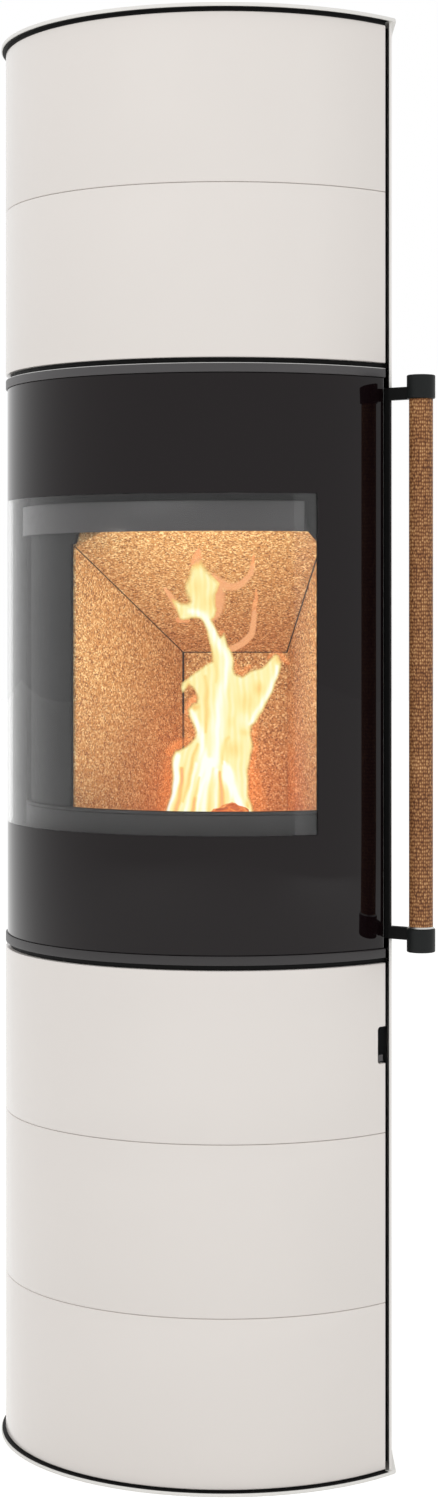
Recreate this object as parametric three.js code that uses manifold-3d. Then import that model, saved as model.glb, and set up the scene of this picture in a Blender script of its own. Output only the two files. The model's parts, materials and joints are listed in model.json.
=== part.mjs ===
// A tall tiled stove with a round front and two straight sides that meet in a square rear corner.
// Millimetres, +Z up, front towards -Y. The origin is on the floor, on the axis of the round front.
// A bearing is an angle in degrees round that axis: 0 is the front, positive turns to the right.

import * as THREE from 'three';
import { mergeVertices } from 'three/addons/utils/BufferGeometryUtils.js';
import Module from 'manifold-3d';

const wasm = await Module();
wasm.setup();

// ---------------------------------------------------------------- driving dimensions

// Plan
const bodyRadius = 287;            // outer face of the tiles and of the door rails
const flatDistance = 206.4;        // outer faces of the side panel and the back panel, from the axis
const panelThickness = 3;
const panelShadowGap = 4.4;        // dark gap between the tile ends and the panels
const plateOverhang = 5.8;         // base and top plate beyond the tiles
const plateFlatOverhang = 5.6;     // base and top plate beyond the panels
const plateCornerRadius = 5;       // where a plate's arc meets its straight edge
const panelSetback = 2.8;          // front edge of the side panel behind the tiles' front corner
const rearCornerRadius = 8;
const squareCorner = 90;           // degrees between the two straight sides

// Heights
const basePlateThickness = 4;
const plinthGap = 2.7;
const lowerTileHeights = [206.1, 209.9, 209.9];
const upperTileHeights = [211.5, 206];
const tileJoint = 0.4;
const shelfThickness = 5;
const doorHeight = 729.5;
const topShadowGap = 4.9;
const topPlateThickness = 4.5;

// Clearances
const seat = 0.3;                  // between pieces that rest on or are fixed to each other
const slide = 0.5;                 // between pieces that slide on each other
const doorRunningGap = 1;          // above and below the door

// Cutting and joining
const past = 1;                    // how far a cutter runs past the face that it cuts
const lap = 1;                     // how deep two shapes that become one piece run into each other

// Tiles and carcass
const tileThickness = 25;
const tileBevel = 1.2;
const carcassWall = 2;
const shelfRecess = 6;             // shelf edge behind the tile face
const plinthDepth = 14;

// Door
const railHeight = 11.5;
const railDepth = 25;
const glassSetback = 2;            // glass face behind the rail face
const glassThickness = 4;
const glassEndMargin = 0.3;        // degrees that the glass stops short of the rail ends
const printThickness = 0.3;
const windowBearings = [-91.5, 23];
const windowRise = 156.3;          // clear window above the door's lower edge
const windowHeight = 415.6;
const hingeTurn = 22.9;            // degrees from the tiles' left end to the hinge axis
const hingeInset = 12;             // hinge axis behind the rail face
const hingePinRadius = 4;
const hingePinClearance = 0.3;
const hingeEdge = 7;               // door material behind the hinge axis
const hingeStileBearingWidth = 5.5;
const handleStileBearingWidth = 3.4;
const sealDepth = 6.4;
const sealWidth = 9;
const sealMargin = 1;
const sealClearance = 1.3;         // between the seal and the firebox front
const hingePinLength = 10;

// Handle
const handleStandOff = 49.2;       // rod axis from the tile face
const handleTurn = 1.76;           // degrees that the rod's axis lies past the tiles' right end
const rodRadius = 14.75;
const rodRise = 39.8;              // lower end of the rod above the door's lower edge
const rodLength = 649.5;
const capRadius = 17.5;
const capHeight = 29;
const capBevel = 1.5;
const armHeight = 15.3;
const armWidth = 9;
const barThickness = 3.2;
const barProud = 5.5;              // bar edge beyond the tile face
const tongueThickness = 4;
const tongueWidth = 8;
const tongueTurn = 2.6;            // degrees of arc round the hinge axis
const tongueRise = 360.3;          // above the door's lower edge
const tongueClearance = 1.5;       // past the corner of the firebox front
const clipSheet = 1.8;
const clipReach = 17;
const clipLength = 18;
const clipOverlap = 11.5;          // of the clip in front of the tongue's tip

// Firebox
const frontPlateThickness = 4;
const frontPlateMargin = 1;        // degrees short of the tile end
const fireOpeningBearings = [-47.6, 27.7];
const fireOpeningDrop = 7.3;       // lower edge of the opening below the hearth
const fireOpeningHeight = 418;
const chamberBack = 57;
const chamberBackLeft = -56;
const chamberBackRight = 83;
const leftWallTurn = 30.25;        // side walls against the depth direction
const rightWallTurn = 9.2;
const liningThickness = 30;
const fireboxWall = 4;
const chamberLength = 2 * bodyRadius; // side walls, before the firebox front ends them
const hearthRise = 92.3;           // hearth plate above the lower shelf
const hearthPlateThickness = 4;
const hearthStoneThickness = 28;
const baffleThickness = 25;
const baffleTurn = 31;
const baffleRise = 289.5;          // underside of the baffle above the hearth, on the stove's axis
const baffleSetback = 47;          // front edge behind the inside of the firebox front
const baffleCornerGap = 1.2;       // baffle corners behind the firebox front
const baffleChamferTurn = 26;      // right front corner, against the depth direction
const baffleChamferWidth = 21.4;   // of that corner, along the front edge
const baffleOverlap = 24;          // how far the baffle reaches over the lining
const baffleRun = 3 * bodyRadius;  // size of the slab that the baffle is cut from
const guardRise = 64.7;            // top of the log guard above the hearth
const guardOverlap = 8;            // how far the guard covers the plate below and beside the opening
const guardDepth = 47;             // of its top flange, which reaches in through the opening
const guardWall = 6;
const guardStart = -88;            // bearing of its left end
const guardSideGap = 1.2;          // degrees between the flange and each side of the opening
const deflectorGap = 11;           // deflector in front of the firebox front
const deflectorThickness = 2;
const deflectorDrop = 4;           // lower edge below the top of the fire opening
const deflectorHeight = 37;
const deflectorBearings = [-88, 21.4];

// Grate and ash pan
const grateCentre = [10, -58];
const grateSize = [139, 179];
const grateThickness = 24;
const grateSlots = 7;
const grateSlotWidth = 8;
const grateRim = 14;
const grateCornerRadius = 5;
const grateClearance = 1.5;        // to the hearth stones
const panSize = [129, 169];
const panDepth = 76;
const panWall = 2;
const panCornerRadius = 6;
const panRimCornerRadius = 2;
const panClearance = 2;            // to the hearth plate

// Combustion air
const notchTurn = 1.3;             // degrees that the notch's middle lies before the tiles' right end
const notchRise = 85.9;            // above the lower edge of its tile
const notchHeight = 45.4;
const notchReach = 6.7;
const notchCornerRadius = 4;
const leverWidth = 8;
const leverThickness = 5;
const leverMargin = 2.5;           // above and below the lever at the ends of its travel
const leverLip = 8;
const leverLipThickness = 3;
const leverRecess = 3;             // tip behind the tile face
const airBoxSetback = 25.7;        // face of the box behind the carcass
const airBoxSize = [100, 86, 163];
const airBoxWall = 2;
const airBoxOffset = -10;
const portSize = 22;
const portSpacing = 34;
const portRise = 50.6;             // ports above the notch's lower edge
const slidePlateThickness = 2.5;
const slidePlateWidth = 72;
const plateMargin = 8;             // slide plate above and below its ports, guides inside the box's ends
const guideFoot = 6;
const guideLip = 5;
const airRiserRadius = 22;
const airPipeRadius = 40;
const airPipeWall = 3;
const airPipeRise = 69.6;          // pipe axis above the bottom of the air box
const airPipeBend = 130;
const airPipeExit = -20;
const airPipeProud = 20;
const airPipeClearance = 2;

// Smoke outlet and heat store
const smokeHoleHalf = 85;
const smokeBoxHalf = 95;
const smokeBoxWall = 3;
const smokeBoxHeight = 225;
const collarRadius = 75;
const collarWall = 4;
const collarRise = 124.8;          // collar axis above the upper shelf
const collarProud = 30;
const storeGap = 4.7;              // heat store inside the carcass
const storeHeights = [100, 124.4, 90];
const storeBoxGap = 4;
const coverRadius = 82;
const coverPlugRadius = 78;
const coverRebate = 2.5;

// Back panel vents
const ventLength = 90;
const ventWidth = 7;
const ventPitch = 18;
const ventRows = 3;
const ventMargin = 105;            // middle of each group from the panel's end
const ventOffset = 75;

// Facets: an arc takes twice this many steps, and a whole circle has so many sides
const fineArc = 24;
const plainArc = 16;
const shortArc = 4;
const cornerSteps = 3;             // of a plate's rounded corner
const roundSides = 32;
const pinSides = 16;
const armCutSides = 48;            // of the hollow in an arm's end, which fits the cap
const handleSides = 28;
const pipeSides = 14;
const pipeSteps = 8;
const chamberSides = 96;           // of the circle that ends the chamber's walls and boards

// ---------------------------------------------------------------- sizes that follow

const { degToRad, radToDeg } = THREE.MathUtils;
const sum = (values) => values.reduce((total, value) => total + value, 0);
const stackHeight = (heights) => sum(heights) + (heights.length - 1) * tileJoint;

const panelInner = flatDistance - panelThickness;
const tileEnd = radToDeg(Math.asin((panelInner - panelShadowGap) / bodyRadius));
const tileStart = -squareCorner - tileEnd;
const tileInner = bodyRadius - tileThickness;
const carcassRadius = tileInner - seat;
const carcassFlat = panelInner - seat;

const plinthTop = basePlateThickness + plinthGap;
const lowerTilesTop = plinthTop + stackHeight(lowerTileHeights);
const lowerShelfBottom = lowerTilesTop + seat;
const lowerShelfTop = lowerShelfBottom + shelfThickness;
const doorBottom = lowerShelfTop + doorRunningGap;
const doorTop = doorBottom + doorHeight;
const upperShelfBottom = doorTop + doorRunningGap;
const upperShelfTop = upperShelfBottom + shelfThickness;
const upperTilesBottom = upperShelfTop + seat;
const upperTilesTop = upperTilesBottom + stackHeight(upperTileHeights);
const topPlateBottom = upperTilesTop + topShadowGap;
const topPlateTop = topPlateBottom + topPlateThickness;
const shelfRadius = bodyRadius - shelfRecess;
const notchedTileBottom = lowerTilesTop - lowerTileHeights.at(-1);
const notchBottom = notchedTileBottom + notchRise;
const notchTop = notchBottom + notchHeight;

const railInner = bodyRadius - railDepth;
const glassRadius = bodyRadius - glassSetback;
const glassBottom = doorBottom + railHeight + seat;
const glassTop = doorTop - railHeight - seat;
const printRadius = glassRadius - glassThickness - seat;
const stileRadius = printRadius - printThickness - seat;
const hingeBearing = tileStart + hingeTurn;
const hingeRadius = bodyRadius - hingeInset;
const doorStart = hingeBearing - radToDeg(hingeEdge / hingeRadius);
const sealRadius = railInner - seat;
const barRadius = bodyRadius + barProud;
const barStart = tileEnd + radToDeg(seat / bodyRadius);
const barEnd = barStart + radToDeg(barThickness / bodyRadius);
const handleStileEnd = barStart - radToDeg(seat / railInner);
const rodBottom = doorBottom + rodRise;
const rodTop = rodBottom + rodLength;

const frontPlateRadius = sealRadius - sealDepth - sealClearance;
const frontPlateInner = frontPlateRadius - frontPlateThickness;
const fireboxRadius = frontPlateInner - seat;
const frontPlateEnd = tileEnd - frontPlateMargin;
const baffleFront = baffleSetback - frontPlateInner;
const hearthPlateTop = lowerShelfTop + hearthRise;
const hearthTop = hearthPlateTop + seat + hearthStoneThickness;
const fireOpeningBottom = hearthTop - fireOpeningDrop;
const fireOpeningTop = fireOpeningBottom + fireOpeningHeight;
const grateBottom = hearthPlateTop + seat + panWall + seat;
const flueRear = flatDistance + collarProud;
const collarHeight = upperShelfTop + collarRise;
const notchBearing = tileEnd - notchTurn;
const airBoxTop = lowerShelfBottom - seat;
const airBoxBottom = airBoxTop - airBoxSize[2];
const airBoxFace = carcassRadius - airBoxSetback;
const airPipeHeight = airBoxBottom + airPipeRise;

// ---------------------------------------------------------------- plan helpers

const polar = (radius, bearing) => new THREE.Vector2(
  radius * Math.sin(degToRad(bearing)),
  -radius * Math.cos(degToRad(bearing)),
);

// An arc round the stove's axis between two bearings, added to a shape.
function arc(path, radius, from, to) {
  path.absarc(0, 0, radius, degToRad(from - 90), degToRad(to - 90), to < from);
}

function sector(inner, outer, from, to) {
  const shape = new THREE.Shape();
  arc(shape, outer, from, to);
  arc(shape, inner, to, from);
  shape.closePath();
  return shape;
}

// The stove's plan: a round front, and straight edges at x = flat and y = flat, with rounded corners.
function cornerPlan(radius, flat, endRadius, cornerRadius) {
  const endBearing = radToDeg(Math.asin(flat / radius));
  const endCut = radToDeg(endRadius / radius);
  const ends = [endBearing - endCut, -squareCorner - endBearing + endCut];
  const round = new THREE.Path();
  arc(round, radius, ...ends);
  const corner = (from, tip, to) => new THREE.QuadraticBezierCurve(from, tip, to).getPoints(cornerSteps);
  const at = (x, y) => new THREE.Vector2(x, y);
  const right = polar(radius, endBearing);
  const rear = polar(radius, -squareCorner - endBearing);
  return new THREE.Shape([
    ...round.getPoints(fineArc).slice(1, -1),
    ...corner(polar(radius, ends[1]), rear, at(rear.x + endRadius, flat)),
    ...corner(at(flat - cornerRadius, flat), at(flat, flat), at(flat, flat - cornerRadius)),
    ...corner(at(flat, right.y + endRadius), right, polar(radius, ends[0])),
  ]);
}

// The points of the same plan with sharp corners.
function cornerPoints(radius, flat) {
  const endBearing = radToDeg(Math.asin(flat / radius));
  const path = new THREE.Path();
  arc(path, radius, endBearing, -squareCorner - endBearing);
  return [...path.getPoints(plainArc), new THREE.Vector2(flat, flat)];
}

const cornerSharp = (radius, flat) => new THREE.Shape(cornerPoints(radius, flat));

function polygon(points) {
  return new THREE.Shape(points.map(([x, y]) => new THREE.Vector2(x, y)));
}

function rectangle(centre, size, radius = 0) {
  const [x, y] = [centre[0] - size[0] / 2, centre[1] - size[1] / 2];
  const [width, height] = size;
  const shape = new THREE.Shape();
  shape.moveTo(x + radius, y);
  shape.lineTo(x + width - radius, y);
  if (radius) shape.absarc(x + width - radius, y + radius, radius, -Math.PI / 2, 0);
  shape.lineTo(x + width, y + height - radius);
  if (radius) shape.absarc(x + width - radius, y + height - radius, radius, 0, Math.PI / 2);
  shape.lineTo(x + radius, y + height);
  if (radius) shape.absarc(x + radius, y + height - radius, radius, Math.PI / 2, Math.PI);
  shape.lineTo(x, y + radius);
  if (radius) shape.absarc(x + radius, y + radius, radius, Math.PI, Math.PI * 1.5);
  shape.closePath();
  return shape;
}

function circle(centre, radius, sides = roundSides) {
  const curve = new THREE.EllipseCurve(centre[0], centre[1], radius, radius);
  return new THREE.Shape(curve.getPoints(sides).slice(0, -1));
}

// A slot along X whose ends have three short sides each.
function slot([x, y], length, width) {
  const [end, half, corner] = [length / 2, width / 2, width / 4];
  return polygon([
    [x - end + half, y - half], [x + end - half, y - half], [x + end, y - corner], [x + end, y + corner],
    [x + end - half, y + half], [x - end + half, y + half], [x - end, y + corner], [x - end, y - corner],
  ]);
}

// Moves every edge of a convex counter-clockwise polygon outwards and joins them again.
function grow(points, distance) {
  const lines = points.map((point, index) => {
    const next = points[(index + 1) % points.length];
    const [dx, dy] = [next[0] - point[0], next[1] - point[1]];
    const length = Math.hypot(dx, dy);
    const normal = [dy / length, -dx / length];
    return { normal, offset: normal[0] * point[0] + normal[1] * point[1] + distance };
  });
  return lines.map((line, index) => {
    const before = lines[(index + lines.length - 1) % lines.length];
    const cross = before.normal[0] * line.normal[1] - before.normal[1] * line.normal[0];
    return [
      (before.offset * line.normal[1] - line.offset * before.normal[1]) / cross,
      (line.offset * before.normal[0] - before.offset * line.normal[0]) / cross,
    ];
  });
}

// ---------------------------------------------------------------- solid helpers

function extrude(shape, bottom, top, { bevel = 0, steps = plainArc } = {}) {
  const geometry = new THREE.ExtrudeGeometry(shape, {
    depth: top - bottom - 2 * bevel,
    curveSegments: steps,
    bevelEnabled: bevel > 0,
    bevelThickness: bevel,
    bevelSize: bevel,
    bevelOffset: -bevel,
    bevelSegments: 1,
  });
  return geometry.translate(0, 0, bottom + bevel);
}

// A cylinder along Y from one depth to another.
function cylinderAlongDepth(radius, from, to, x, z, sides = roundSides) {
  const geometry = new THREE.CylinderGeometry(radius, radius, to - from, sides);
  return geometry.translate(x, (from + to) / 2, z);
}

function box(low, high) {
  const size = high.map((value, index) => value - low[index]);
  const middle = high.map((value, index) => (value + low[index]) / 2);
  return new THREE.BoxGeometry(...size).translate(...middle);
}

// A disc or ring about a vertical axis, from [radius, height] pairs.
function revolve(profile, sides = roundSides) {
  const points = profile.map(([radius, height]) => new THREE.Vector2(radius, height));
  return new THREE.LatheGeometry(points, sides).rotateX(Math.PI / 2);
}

function toSolid(geometry) {
  const bare = geometry.clone();
  bare.deleteAttribute('normal');
  bare.deleteAttribute('uv');
  const merged = mergeVertices(bare, 1e-4);
  return new wasm.Manifold(new wasm.Mesh({
    numProp: 3,
    vertProperties: new Float32Array(merged.attributes.position.array),
    triVerts: new Uint32Array(merged.index.array),
  }));
}

function toGeometry(solid) {
  const mesh = solid.getMesh();
  const geometry = new THREE.BufferGeometry();
  geometry.setAttribute('position', new THREE.BufferAttribute(new Float32Array(mesh.vertProperties), 3));
  geometry.setIndex(new THREE.BufferAttribute(new Uint32Array(mesh.triVerts), 1));
  geometry.computeVertexNormals();
  return geometry;
}

function cut(geometry, ...tools) {
  return toGeometry(tools.reduce((solid, tool) => solid.subtract(toSolid(tool)), toSolid(geometry)));
}

function join(geometry, ...others) {
  return toGeometry(others.reduce((solid, other) => solid.add(toSolid(other)), toSolid(geometry)));
}

function common(geometry, other) {
  return toGeometry(toSolid(geometry).intersect(toSolid(other)));
}

// ---------------------------------------------------------------- materials

function paint(color, roughness, metalness = 0) {
  return new THREE.MeshStandardMaterial({ color, roughness, metalness });
}

const finishes = {
  tile: () => paint(0xdfdbd5, 0.28),
  whiteSteel: () => paint(0xe6e4e0, 0.45),
  blackSteel: () => paint(0x161516, 0.6, 0.4),
  greySteel: () => paint(0x47484a, 0.4, 0.7),
  carcass: () => paint(0x55575a, 0.5, 0.8),
  glass: () => {
    const glass = paint(0x3a3836, 0.05);
    glass.transparent = true;
    glass.opacity = 0.35;
    return glass;
  },
  print: () => paint(0x1b191a, 0.3),
  vermiculite: () => paint(0xd6a069, 0.95),
  castIron: () => paint(0x37363a, 0.65, 0.6),
  rod: () => paint(0x96643c, 0.6),
  cap: () => paint(0x2c2e2e, 0.55, 0.3),
  rope: () => paint(0x4a4946, 0.95),
  store: () => paint(0x9b948a, 0.95),
};

const stove = new THREE.Group();

function piece(name, geometry, finish, group = stove) {
  const mesh = new THREE.Mesh(geometry, finishes[finish]());
  mesh.name = name;
  group.add(mesh);
  return mesh;
}

// ---------------------------------------------------------------- plates and panels

const platePlan = cornerPlan(
  bodyRadius + plateOverhang, flatDistance + plateFlatOverhang, plateCornerRadius, rearCornerRadius,
);
piece('base_plate', extrude(platePlan, 0, basePlateThickness), 'whiteSteel');

const coverRebateBottom = topPlateTop - coverRebate;
piece('top_plate', cut(
  extrude(platePlan, topPlateBottom, topPlateTop),
  extrude(circle([0, 0], coverPlugRadius), topPlateBottom - past, topPlateTop + past),
  extrude(circle([0, 0], coverRadius), coverRebateBottom, topPlateTop + past),
), 'whiteSteel');

// Flush cover over the unused top outlet: a flange in the rebate and a plug in the hole.
piece('top_cover', revolve([
  [0, topPlateBottom],
  [coverPlugRadius - seat, topPlateBottom],
  [coverPlugRadius - seat, coverRebateBottom + seat],
  [coverRadius - seat, coverRebateBottom + seat],
  [coverRadius - seat, topPlateTop],
  [0, topPlateTop],
]), 'whiteSteel');

piece('plinth_strip', extrude(
  sector(shelfRadius - plinthDepth, shelfRadius, tileStart, tileEnd),
  basePlateThickness + seat, plinthTop - seat,
), 'blackSteel');

const panelBottom = basePlateThickness + seat;
const panelTop = topPlateBottom - seat;
const panelFront = polar(bodyRadius, tileEnd).y + panelSetback;
piece('side_panel', extrude(
  polygon([
    [panelInner, panelFront], [flatDistance, panelFront],
    [flatDistance, flatDistance], [panelInner, flatDistance],
  ]), panelBottom, panelTop,
), 'whiteSteel');

// The back panel is drawn as it is seen from behind, then stood up.
function ventHoles() {
  const holes = [];
  for (const centre of [panelBottom + ventMargin, panelTop - ventMargin]) {
    for (const side of [-1, 1]) {
      for (let row = 0; row < ventRows; row += 1) {
        const height = centre + (row - (ventRows - 1) / 2) * ventPitch;
        holes.push(slot([side * ventOffset, height], ventLength, ventWidth));
      }
    }
  }
  return holes;
}
const backWidth = [panelFront, panelInner - seat];
const backPlan = rectangle(
  [(backWidth[0] + backWidth[1]) / 2, (panelBottom + panelTop) / 2],
  [backWidth[1] - backWidth[0], panelTop - panelBottom],
);
backPlan.holes.push(
  circle([0, collarHeight], collarRadius + slide),
  circle([airPipeExit, airPipeHeight], airPipeRadius + airPipeClearance),
  ...ventHoles(),
);
const backPanel = extrude(backPlan, 0, panelThickness, { steps: 1 });
backPanel.rotateX(Math.PI / 2).translate(0, flatDistance, 0);
piece('back_panel', backPanel, 'whiteSteel');

// ---------------------------------------------------------------- tiles

const tilePlan = sector(tileInner, bodyRadius, tileStart, tileEnd);
const tileShell = (bottom, height) => extrude(
  tilePlan, bottom, bottom + height, { bevel: tileBevel, steps: fineArc },
);

// The air lever's notch is open at the right end of its tile.
function notchCutter() {
  const reach = bodyRadius;
  const shape = rectangle(
    [reach / 2 - notchReach, (notchBottom + notchTop) / 2], [reach, notchHeight], notchCornerRadius,
  );
  const geometry = extrude(shape, 0, 2 * tileThickness, { steps: 2 }).rotateX(Math.PI / 2);
  return geometry.translate(0, tileThickness * 1.5 - bodyRadius, 0).rotateZ(degToRad(notchBearing));
}

function tileStack(prefix, bottom, heights, notched) {
  heights.reduce((height, tileHeight, index) => {
    const plain = tileShell(height, tileHeight);
    piece(`${prefix}_${index + 1}`, index === notched ? cut(plain, notchCutter()) : plain, 'tile');
    return height + tileHeight + tileJoint;
  }, bottom);
}
tileStack('lower_tile', plinthTop, lowerTileHeights, lowerTileHeights.length - 1);
tileStack('upper_tile', upperTilesBottom, upperTileHeights, -1);

// ---------------------------------------------------------------- carcass and shelves

const carcassPlan = cornerSharp(carcassRadius, carcassFlat);
const carcassInside = cornerPoints(carcassRadius - carcassWall, carcassFlat - carcassWall);
carcassPlan.holes.push(new THREE.Path(carcassInside.reverse()));

const leverSlot = box(
  [-leverWidth, -bodyRadius, notchBottom],
  [leverWidth, 2 * tileThickness - bodyRadius, notchTop],
).rotateZ(degToRad(notchBearing));

piece('lower_carcass', cut(
  extrude(carcassPlan, basePlateThickness + seat, lowerShelfBottom - seat),
  leverSlot,
  cylinderAlongDepth(airPipeRadius + airPipeClearance, 0, flatDistance, airPipeExit, airPipeHeight),
), 'carcass');

piece('upper_carcass', cut(
  extrude(carcassPlan, upperShelfTop + seat, topPlateBottom - seat),
  cylinderAlongDepth(collarRadius + slide, 0, flatDistance, 0, collarHeight),
), 'carcass');

const airRiser = polar(airBoxFace - airBoxSize[1] / 2, notchBearing + radToDeg(airBoxOffset / airBoxFace));
const lowerShelfPlan = cornerSharp(shelfRadius, panelInner - seat);
lowerShelfPlan.holes.push(circle([airRiser.x, airRiser.y], airRiserRadius));
piece('lower_shelf', extrude(lowerShelfPlan, lowerShelfBottom, lowerShelfTop), 'blackSteel');

const upperShelfPlan = cornerSharp(shelfRadius, panelInner - seat);
upperShelfPlan.holes.push(rectangle([0, 0], [2 * smokeHoleHalf, 2 * smokeHoleHalf]));
piece('upper_shelf', extrude(upperShelfPlan, upperShelfBottom, upperShelfTop), 'blackSteel');

// Fixed casing behind the hinge: a curved tray whose rim stands on the shelf.
const hingeSweep = Math.hypot(bodyRadius - hingeRadius, hingeEdge) + doorRunningGap;
const casingEnd = hingeBearing - radToDeg(hingeSweep / bodyRadius);
const casingRim = radToDeg(panelThickness / bodyRadius);
const casingBottom = lowerShelfTop + seat;
const casingTop = upperShelfBottom - seat;
piece('hinge_side_casing', cut(
  extrude(sector(tileInner, bodyRadius, tileStart, casingEnd), casingBottom, casingTop, { steps: shortArc }),
  extrude(
    sector(tileInner - past, bodyRadius - panelThickness, tileStart + casingRim, casingEnd - casingRim),
    casingBottom + panelThickness, casingTop - panelThickness, { steps: shortArc },
  ),
), 'blackSteel');

// ---------------------------------------------------------------- firebox

// Plan of the fire chamber: back left, front left, front right and back right corners.
// Its side walls are drawn far longer than they are, and the front plate ends them.
const chamber = [
  [chamberBackLeft, chamberBack],
  [
    chamberBackLeft - chamberLength * Math.sin(degToRad(leftWallTurn)),
    chamberBack - chamberLength * Math.cos(degToRad(leftWallTurn)),
  ],
  [
    chamberBackRight + chamberLength * Math.sin(degToRad(rightWallTurn)),
    chamberBack - chamberLength * Math.cos(degToRad(rightWallTurn)),
  ],
  [chamberBackRight, chamberBack],
];
const withinFront = (geometry, radius = fireboxRadius) => common(
  geometry, extrude(circle([0, 0], radius, chamberSides), lowerShelfTop, upperShelfBottom),
);

piece('firebox_front', cut(
  extrude(
    sector(frontPlateInner, frontPlateRadius, hingeBearing, frontPlateEnd),
    lowerShelfTop + seat, upperShelfBottom - seat,
  ),
  extrude(
    sector(frontPlateInner - past, frontPlateRadius + past, ...fireOpeningBearings),
    fireOpeningBottom, fireOpeningTop,
  ),
), 'blackSteel');

const shellPlan = polygon(grow(chamber, liningThickness + seat + fireboxWall));
shellPlan.holes.push(polygon(grow(chamber, liningThickness + seat)));
piece('firebox_shell', withinFront(
  extrude(shellPlan, lowerShelfTop + seat, upperShelfBottom - seat),
), 'carcass');

const hearthHole = (margin, size) => rectangle(grateCentre, size.map((value) => value + 2 * margin));
const hearthPlatePlan = polygon(grow(chamber, liningThickness));
hearthPlatePlan.holes.push(hearthHole(panClearance, panSize));
piece('hearth_plate', withinFront(
  extrude(hearthPlatePlan, hearthPlateTop - hearthPlateThickness, hearthPlateTop),
), 'carcass');

// Four hearth stones lie round the grate: one in front, one behind and one on each side.
const stoneFloor = withinFront(
  extrude(polygon(grow(chamber, -seat)), hearthPlateTop + seat, hearthTop),
);
const grateReach = (along) => [-1, 1].map(
  (side) => grateCentre[along] + side * (grateSize[along] / 2 + grateClearance),
);
const [grateLeft, grateRight] = grateReach(0);
const [grateFront, grateRear] = grateReach(1);
const stonePlans = {
  front: [[-bodyRadius, -bodyRadius], [bodyRadius, grateFront]],
  rear: [[-bodyRadius, grateRear], [bodyRadius, bodyRadius]],
  left: [[-bodyRadius, grateFront + seat], [grateLeft, grateRear - seat]],
  right: [[grateRight, grateFront + seat], [bodyRadius, grateRear - seat]],
};
for (const [place, [low, high]] of Object.entries(stonePlans)) {
  const reach = box([...low, hearthPlateTop], [...high, hearthTop + past]);
  piece(`hearth_stone_${place}`, common(stoneFloor, reach), 'vermiculite');
}

// Everything above the underside of the sloping baffle, lowered by a gap.
function aboveBaffle(gap, thickness = baffleRun) {
  const slab = new THREE.BoxGeometry(baffleRun, baffleRun, thickness).translate(0, 0, thickness / 2);
  return slab.rotateX(-degToRad(baffleTurn)).translate(0, 0, hearthTop + baffleRise - gap);
}

// The lining's boards meet on the lines between the inner and outer corners.
const liningOuter = grow(chamber, liningThickness);
for (const [from, side] of ['left', 'open', 'right', 'back'].entries()) {
  if (side === 'open') continue;
  const to = (from + 1) % chamber.length;
  const plan = [chamber[to], chamber[from], liningOuter[from], liningOuter[to]];
  const board = extrude(polygon(grow(plan, -seat / 2)), hearthPlateTop + seat, upperShelfBottom);
  piece(`lining_${side}`, withinFront(cut(board, aboveBaffle(seat))), 'vermiculite');
}

// Baffle: a board cut to the chamber and the round front, with a chamfer at its right front corner.
const baffleBlank = withinFront(
  extrude(polygon(grow(chamber, baffleOverlap)), hearthTop, upperShelfBottom),
  fireboxRadius - baffleCornerGap,
);
const baffleSpan = box(
  [-bodyRadius, baffleFront, hearthTop],
  [bodyRadius, chamberBack + baffleOverlap, upperShelfBottom],
);
const wallAtFront = chamberBackRight + (chamberBack - baffleFront) * Math.tan(degToRad(rightWallTurn));
const chamferStart = wallAtFront - baffleChamferWidth;
const chamferRun = Math.tan(degToRad(90 - baffleChamferTurn));
const baffleChamfer = extrude(polygon([
  [chamferStart, baffleFront],
  [chamferStart, -bodyRadius],
  [bodyRadius, -bodyRadius],
  [bodyRadius, baffleFront + (bodyRadius - chamferStart) * chamferRun],
]), hearthTop, upperShelfBottom);
piece('baffle', cut(
  common(common(baffleBlank, baffleSpan), aboveBaffle(0, baffleThickness)),
  baffleChamfer,
), 'vermiculite');

// Curved guard that keeps the logs off the glass. Its wall stands in front of the firebox front, and
// its top flange reaches in through the fire opening.
const guardTop = hearthTop + guardRise;
const guardInner = frontPlateRadius + seat;
const guardRadius = guardInner + guardWall;
const [openingStart, openingEnd] = fireOpeningBearings;
const guardEnd = openingEnd + radToDeg(guardOverlap / frontPlateRadius);
const guardFlange = [openingStart + guardSideGap, openingEnd - guardSideGap];
piece('log_guard', join(
  extrude(sector(guardInner, guardRadius, guardStart, guardEnd), fireOpeningBottom - guardOverlap, guardTop),
  extrude(sector(guardRadius - guardDepth, guardInner + lap, ...guardFlange), guardTop - guardWall, guardTop),
), 'castIron');

// Air-wash deflector: a curved strip hung from a flange on the firebox front.
const deflectorRadius = frontPlateRadius + deflectorGap;
const deflectorBottom = fireOpeningTop - deflectorDrop;
const deflectorTop = deflectorBottom + deflectorHeight;
piece('air_deflector', join(
  extrude(
    sector(deflectorRadius - deflectorThickness, deflectorRadius, ...deflectorBearings),
    deflectorBottom, deflectorTop,
  ),
  extrude(
    sector(frontPlateRadius + seat, deflectorRadius - deflectorThickness / 2, ...deflectorBearings),
    deflectorTop - deflectorThickness, deflectorTop,
  ),
), 'greySteel');

// ---------------------------------------------------------------- grate and ash pan

const panBottom = hearthPlateTop - panDepth;
const panInner = panSize.map((value) => value - 2 * panWall);
const panOutline = rectangle(grateCentre, panSize, panCornerRadius);
const panRim = rectangle(grateCentre, grateSize, panRimCornerRadius);
piece('ash_pan', cut(
  join(
    extrude(panOutline, panBottom, hearthPlateTop + seat + panWall / 2, { steps: shortArc }),
    extrude(panRim, hearthPlateTop + seat, hearthPlateTop + seat + panWall, { steps: shortArc }),
  ),
  extrude(
    rectangle(grateCentre, panInner, panCornerRadius - panWall),
    panBottom + panWall, hearthTop, { steps: shortArc },
  ),
), 'greySteel');

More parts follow.
